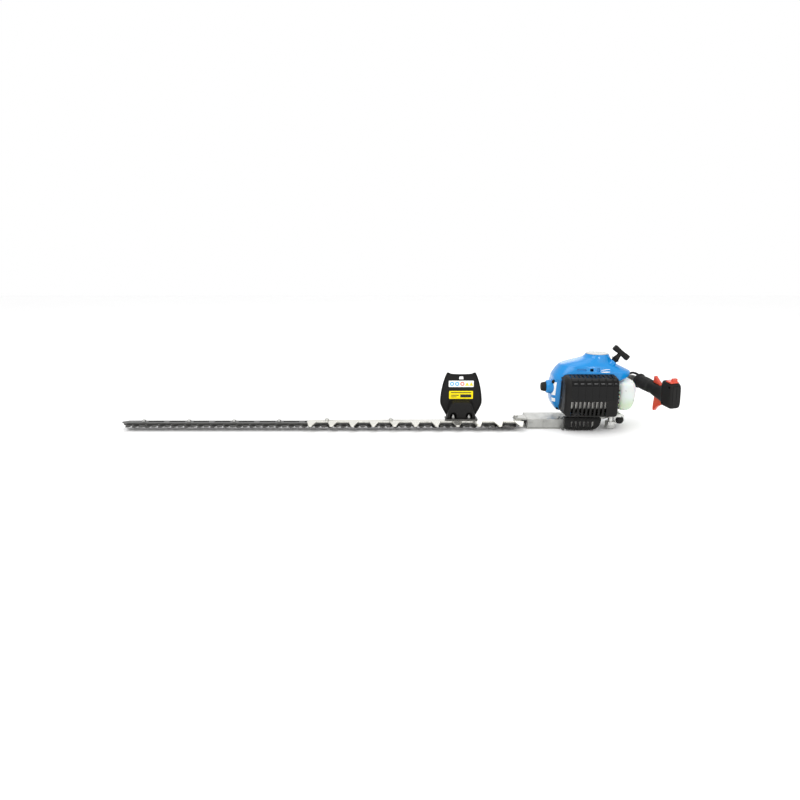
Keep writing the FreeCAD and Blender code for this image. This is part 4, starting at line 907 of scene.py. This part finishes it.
def fuel_tank():
    """The tank with its seam and neck, and the cap."""
    span, cap = Span("fuel_tank"), Span("fuel_cap")
    x0, x1, y0, z0, z1 = span.x0, span.x1, span.y0, span.z0, span.z1
    back = cap.y0 - 0.6
    # height, ends in X, inset at front and back, squareness
    rows = flow([(z, start, end, y0 + inset, back - inset, power) for z, start, end, inset, power in (
        (z0, x0 + 12, x0 + 31, 14, 2.6), (z0 + 1.6, x0 + 6.5, x0 + 36, 8, 3),
        (z0 + 5, x0 + 2.5, x0 + 41, 3.5, 3.4), (z0 + 12, x0 + 0.4, x0 + 46, 0.8, 3.8),
        (z0 + 26, x0, x1 - 2.6, 0, 4), (z0 + 46, x0, x1, 0, 4), (z1 - 24, x0, x1, 0, 4),
        (z1 - 12, x0 + 0.5, x1 - 1.6, 0.6, 3.8), (z1 - 5, x0 + 2.5, x1 - 4.6, 3, 3.4),
        (z1 - 1.4, x0 + 6.5, x1 - 9, 8, 3), (z1, x0 + 12, x1 - 15, 14, 2.6))], 4)
    tank = ovals("fuel_tank_piece", rows, 80)
    seam_y = (y0 + back) / 2
    ridge = stack("tank_seam", [(seam_y + step, tank_side(span, inset)) for step, inset in (
        (-0.9, 3), (-0.6, -0.9), (0.6, -0.9), (0.9, 3))], "y")
    neck = turned("tank_neck", [(14, -5), (13.4, -0.5), (11, 0), (11, 9), (8, 9), (8, -5)],
                  along("y", (cap.x, back - 0.5, cap.z)))
    stand_in(fuse([tank, ridge, neck], "fuel_tank_piece"), "fuel_tank", "tank_plastic", 45)
    depth, radius = cap.y1 - cap.y0, (cap.x1 - cap.x0) / 2
    lid = turned("fuel_cap_piece", [
        (radius - 4, 0), (radius - 0.8, 0), (radius, 0.8), (radius, depth - 3), (radius - 1, depth - 1.2),
        (radius - 3, depth - 0.2), (radius - 6, depth), (radius - 7, depth - 1.4), (4, depth - 1.4),
        (0.3, depth - 1.2)], along("y", (cap.x, cap.y0, cap.z)), 144,
        lambda angle, height: 1 - 0.0175 * (1 - math.cos(24 * angle)) if 0.5 < height < depth - 1 else 1)
    bar = block("cap_bar", (cap.x - 10.5, cap.x + 10.5), (cap.y1 - 4, cap.y1 - 0.1),
                (cap.z - 2.4, cap.z + 2.4), 1.2, 3)
    stand_in(fuse([lid, bar], "fuel_cap_piece"), "fuel_cap", "black_plastic", 35, "fuel_cap")


def tank_side(span, inset):
    """The tank's outline in XZ."""
    x0, x1, z0, z1 = span.x0 + inset, span.x1 - inset, span.z0 + inset, span.z1 - inset
    return flow([(x0 + 14, z0), (x0 + 4, z0 + 5), (x0, z0 + 20), (x0, z1 - 30), (x0 + 1, z1 - 12),
                 (x0 + 6, z1 - 3), (x0 + 16, z1), (x1 - 18, z1), (x1 - 7, z1 - 3), (x1 - 1.5, z1 - 12),
                 (x1, z1 - 30), (x1 - 2, z0 + 30), (x1 - 8, z0 + 12), (x1 - 14, z0 + 3), (x1 - 24, z0)], 3)


def air_cleaner():
    """The air cleaner's cover with louvres and a knob, and the primer's dome."""
    span = Span("air_cleaner_cover")
    x0, x1, y1, z0, z1 = span.x0, span.x1, span.y1, span.z0, span.z1
    lid = stack("air_cleaner_piece", [
        (level, oval((x0 + inset, x1 - inset), (z0 + inset, z1 - inset), power, 80))
        for level, inset, power in ((span.y0, 0, 6), (span.y0 + 2, 0.2, 6), (y1 - 12, 1.2, 5.5),
                                    (y1 - 5, 3.2, 5), (y1 - 1.6, 6.6, 4.4), (y1, 11, 4))], "y")
    lid = carve(lid, [block("louvre", (span.x - 18, span.x + 18), (y1 - 1.4, y1 + 2), (low, low + 2.4))
                      for low in (z0 + 16 + 6 * index for index in range(5))])
    knob = turned("cleaner_knob", [(6.5, -3), (6.5, 0.2), (5.6, 0.9), (3, 0.9), (2.6, 0.2), (0.2, 0.2)],
                  along("y", (span.x, y1 - 1, z1 - 9)), 72,
                  lambda angle, height: 1 - 0.03 * (1 - math.cos(18 * angle)))
    stand_in(fuse([lid, knob], "air_cleaner_piece"), "air_cleaner_cover", "black_plastic", 30)
    bulb = Span("primer_bulb")
    height, radius = bulb.y1 - bulb.y0, (bulb.x1 - bulb.x0) / 2
    profile = [(radius * wide, height * up) for wide, up in ((0.66, 0), (0.7, 0.2), (0.82, 0.5), (0.95, 0.8),
                                                             (1, 0.9), (0.9, 1))]
    dome = turned("primer_dome", profile + [(0.3, height)], along("y", (bulb.x, bulb.y0, bulb.z)))
    stand_in(dome, "primer_bulb", "clear_bulb", body="primer_bulb")


# ---- rear handle ----

def rear_grip():
    """The waisted rubber sleeve with its collar, round the handle's pipe."""
    profile = flow([(8.2, -52), (17.2, -52), (17.6, -46), (18.1, -36), (18.3, -26), (17.9, -16),
                    (17.2, -9.5)], 3)
    profile += flow([(17.4, -8.4), (18.6, -7), (20, -5.8), (20.5, -3.4), (20, -1), (18.6, 0), (8.2, 0)], 3)
    grip = turned("rear_grip_piece", profile, GRIP @ along("y"), 72,
                  lambda angle, height: 1 + (0.012 * math.cos(12 * angle) if -50 < height < -10 else 0))
    stand_in(grip, "rear_grip", "grip_rubber", 40)


def handle_shells():
    """The two halves of the rear handle, cut from one body with its slots, groove and screw holes."""
    rows = flow([
        # distance along the handle, half width, lowest, highest, squareness, share of the block's lean
        (-52.2, 17.2, -17.2, 17.2, 2.0, 0),
        (-58, 15.8, -16.2, 16, 2.3, 0),
        (-66, 15, -18.2, 15.6, 2.5, 0),
        (-76, 15, -20, 16, 2.7, 0),
        (-88, 15, -21.2, 16.8, 3, 0.2),
        (-96, 15.6, -23, 18.6, 3.4, 0.6),
        (-100, 16.8, -25.5, 27, 4.2, 1),
        (-102, 17.8, -27.4, 35, 5.5, 1),
        (-104.5, 18, -28, 38, 6.5, 1),
        (-120, 18, -28, 38, 6.5, 1),
        (-129, 18, -28, 38, 6.2, 1),
        (-133.5, 17.6, -27.4, 37.4, 5.4, 1),
        (-136.6, 16.4, -25.8, 35.6, 4.8, 1),
        (-138, 14.6, -23.4, 33.2, 4.4, 1),
    ], 4)
    slope = BLOCK_LEAN / (BLOCK_HIGH - BLOCK_LOW)
    rings = [
        [(x, place + lean * slope * (z - BLOCK_HIGH), z)
         for x, z in oval((-half, half), (low, high), power, 72)]
        for place, half, low, high, power, lean in rows
    ]
    whole = loft("handle", rings, frame=GRIP)
    slot = (-5.7, 5.7)
    cutters = [
        block("lever_slot", slot, (-91, -56), (1, 40), frame=GRIP),
        block("trigger_slot", slot, (-106, -69), (-45, -2), frame=GRIP),
        prism("panel_groove", rounded((-12.5, 12.5), (-27, 28), 4), -3, 1.4, "y", BLOCK_END),
    ]
    for place, up in ((-131, 27), (-117, -20)):
        cutters.append(turned("screw_hole", [(3, 0), (3, 6)], GRIP @ along("x", (-19, place, up)), 28))
    whole = carve(whole, cutters)
    for side, name in ((-1, "left"), (1, "right")):
        half = whole.copy()
        half.data = whole.data.copy()
        half.name = f"handle_shell_{name}_piece"
        SCENE.collection.objects.link(half)
        split(half, side)
        stand_in(soften(half, 0.35, 2, 40), f"handle_shell_{name}", "black_plastic", 34)
    bpy.data.objects.remove(whole)
    end_panel()


def split(thing, side):
    """Keeps the half of the handle on one side of its middle plane, and closes it."""
    work = bmesh.new()
    work.from_mesh(thing.data)
    cut = bmesh.ops.bisect_plane(
        work, geom=work.verts[:] + work.edges[:] + work.faces[:], clear_inner=True,
        plane_co=(GRIP @ Vector((side * 0.12, 0, 0))) * MM, plane_no=GRIP.to_3x3() @ Vector((side, 0, 0)))
    edges = [item for item in cut["geom_cut"] if isinstance(item, bmesh.types.BMEdge)]
    bmesh.ops.holes_fill(work, edges=edges)
    bmesh.ops.recalc_face_normals(work, faces=work.faces)
    work.to_mesh(thing.data)
    work.free()


def end_panel():
    """The raised plate on the handle's end, with a groove down its middle and low steps at its foot."""
    plate = prism("handle_end_panel", rounded((-11.6, 11.6), (-26, 27), 3.6), -0.5, 1.5, "y", BLOCK_END)
    cutters = [prism("panel_slot", rounded((-1.1, 1.1), (-9, 21), 1, 3), -2, 0.2, "y", BLOCK_END)]
    for low in (-22, -18.4, -14.8):
        cutters.append(prism("panel_step", rounded((-8, 8), (low, low + 1.1), 0.5, 2), -2, 0, "y", BLOCK_END))
    finish(carve(soften(plate, 0.6, 3), cutters), LOOKS["black_plastic"], angle=30)


def side_plate(node, outline):
    """A red lever cut from a side outline in the handle's frame, with rounded edges."""
    plate = soften(prism(node + "_piece", outline, -4.5, 4.5, "x", GRIP), 1.2, 4, 25)
    stand_in(plate, node, "red_plastic", 40, node)


def controls():
    """The lock lever, the trigger, the stop switch and the handle's screw heads."""
    side_plate("lock_lever", [(-88, 9.2), (-81, 9.2), (-79, 15.7), (-60, 15.7)] + flow(
        [(-58.8, 22), (-58, 31), (-59, 33.6), (-61.4, 33.8), (-66, 31), (-76, 24.8), (-88, 18)], 3))
    side_plate("throttle_trigger", [(-103, -10), (-72, -10), (-72.6, -26)] + flow(
        [(-73, -40), (-74.6, -53), (-76.6, -57), (-79.4, -57.8), (-82, -53), (-86, -46.5), (-93, -39.5),
         (-102, -33)], 3) + [(-100, -29), (-99, -25)])
    base = block("switch_base", (-17, 9), (-134, -115), (38.3, 42), 0.9, 3, GRIP)
    knob = stack("switch_knob", [
        (z, oval((-7 + inset, 9 - inset), (-130 + inset, -120 - inset), 5, 32))
        for z, inset in ((41, -0.8), (43, 0), (47.2, 0.5), (48.4, 1.1), (48.8, 2.2))], "z", GRIP)
    knob = carve(knob, [block("rib", (-9, 11), (y, y + 0.9), (48, 50), frame=GRIP)
                        for y in (-128, -125.5, -123)])
    stand_in(fuse([base, knob], "stop_switch_piece"), "stop_switch", "red_plastic", 40, "stop_switch")
    profile = [(3, 0), (3, 0.8), (2.4, 1.3), (1.2, 1.3), (1.1, 0.4), (0.1, 0.4)]
    screws = [turned("screw", profile, GRIP @ along("x", (17.8, place, up)), 28)
              for place, up in ((-131, 27), (-119, -18))]
    whole = fuse(screws, "handle_screw_heads")
    finish(whole, LOOKS["bar_steel"], nodes=["handle_screws"])


# ---- starter ----

def starter():
    """The starter's bar with its neck, the rope's guide and the rope."""
    rows = flow([(-25, 5), (-24.2, 7), (-22, 8), (-16, 7.8), (-8, 7.1), (0, 6.9), (8, 7.1), (16, 7.8),
                 (22, 8), (24.2, 7), (25, 5)], 3)
    bar = stack("starter_bar", [
        (place, oval((-radius, radius), (-radius, radius), 3.2, 40)) for place, radius in rows], "x", PULL)
    profile = flow([(7.6, -20.4), (8, -19.6), (7.4, -16), (6, -11), (5.8, -7), (7, -3)], 4)
    neck = turned("starter_neck", profile, PULL)
    neck = carve(neck, [turned("hole", [(1.95, -25), (1.95, 3)], PULL, 24)])
    whole = fuse([bar, neck], "starter_handle_piece")
    stand_in(whole, "starter_handle", "black_plastic", 40, "starter_handle")
    profile = flow([(2.3, -33), (7.4, -33), (7.5, -29), (8, -26), (9.6, -23.4), (10.9, -21.6), (10.2, -21),
                    (6, -22), (3.4, -24), (2.3, -28), (2.3, -33)], 3)
    guide = turned("rope_guide_piece", profile, PULL, 56, caps=False)
    stand_in(guide, "rope_guide", "black_plastic", 40)
    starter_rope()


def starter_rope():
    """The rope from the pulley to the handle; its free stretch has many rings, because it draws out."""
    bottom, mouth, knot, radius, sides = -42, -20.8, -1, 1.75, 16
    bend = PULL @ Vector((0, 0, bottom))
    start = Vector((0, PULL_PLACE[1], bend.z))
    points = [start.lerp(bend, step / 6) for step in range(6)]
    depths = [bottom + (mouth - bottom) * step / 6 for step in range(6)]
    depths += [mouth + (knot - mouth) * step / 90 for step in range(91)]
    points += [PULL @ Vector((0, 0, depth)) for depth in depths]
    side = Vector((0, 1, 0))
    rings = []
    for index, point in enumerate(points):
        ahead = (points[min(index + 1, len(points) - 1)] - points[max(index - 1, 0)]).normalized()
        up = ahead.cross(side).normalized()
        angles = [math.tau * step / sides for step in range(sides)]
        rings.append([point + (side * math.cos(angle) + up * math.sin(angle)) * radius for angle in angles])
    rope = loft("starter_rope_piece", rings)
    rope.data.materials.append(LOOKS["rope"])
    smooth(rope, 60)
    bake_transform(rope)
    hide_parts("starter_rope")


def throttle_cable():
    """The throttle cable's arch from the engine cover to the handle."""
    route = [Vector(point) for point in (
        (-40, 52, 142), (2, 50, 142), (44, 46, 139), (80, 44, 135.5), (104, 48, 135.5))]
    route += [GRIP @ Vector((0, 22, 17)), GRIP @ Vector((0, 0.3, 14))]
    data = bpy.data.curves.new("throttle_cable_piece", "CURVE")
    data.dimensions = "3D"
    spline = data.splines.new("NURBS")
    spline.points.add(len(route) - 1)
    for point, place in zip(spline.points, route):
        point.co = (*(place * MM), 1)
    spline.order_u = 3
    spline.use_endpoint_u = True
    data.resolution_u = 16
    data.bevel_depth = 3.1 * MM
    data.bevel_resolution = 6
    data.use_fill_caps = True
    cable = bpy.data.objects.new("throttle_cable_piece", data)
    SCENE.collection.objects.link(cable)
    data.materials.append(LOOKS["grip_rubber"])
    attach(cable, "machine")
    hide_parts("throttle_cable")


# ---- CAD nodes that stay ----

CAD_SOFT = {
    # bevel width: nodes
    0.3: "cylinder",
    0.4: "guide_bar blade_bolts case_screws muffler spark_plug",
    0.5: "blade_nuts shield_bolts front_handle_tube gear_case_cover intake_insulator",
    0.6: "rubber_bushes carburettor choke_lever",
    0.7: "finger_comb shield_bracket",
    0.8: "gear_case clutch_housing crankcase_lower crankcase_upper air_cleaner_base",
    1.0: "rear_bracket",
}
CAD_LOOK = {
    # painted shade: the shield's bracket takes the dark blade steel for the shade it sits in at the shield's
    # foot
    "muffler": MUFFLER_STEEL, "shield_bracket": LOOKS["blade_steel"], "handle_pipe": LOOKS["bar_steel"],
}


def carry_over():
    """The CAD parts that show as they are get their finish, and those in CAD_SOFT get softer edges."""
    widths = {name: width for width, names in CAD_SOFT.items() for name in names.split()}
    for name, node in frame["nodes"].items():
        if node.hide_render:
            continue
        slot = node.material_slots[0].material.name.split(".")[0]
        look = CAD_LOOK.get(name) or LOOKS.get(slot) or LOOKS["inner_steel"]
        for holder in node.material_slots:
            holder.material = look
        if name in widths:
            weld = node.modifiers.new("join", "WELD")
            weld.merge_threshold = 0.01 * MM
            bevel = node.modifiers.new("soft_edges", "BEVEL")
            bevel.width = widths[name] * MM
            bevel.segments = 2
            bevel.limit_method = "ANGLE"
            bevel.angle_limit = math.radians(40)


def floor():
    """A pale floor just under the object."""
    half, low = 4500, CAD_BOX[0].z / MM - 0.2
    ground = mesh("floor", [(-half, -half, low), (half, -half, low), (half, half, low), (-half, half, low)],
                  [(0, 1, 2, 3)])
    ground.data.materials.append(painted_floor())


add_camera()
throttle_cable()
add_lights()
floor()
cutter()
hand_shield()
front_grip()
engine_cover()
muffler_guard()
lower_guard()
fuel_tank()
air_cleaner()
rear_grip()
handle_shells()
controls()
starter()
carry_over()
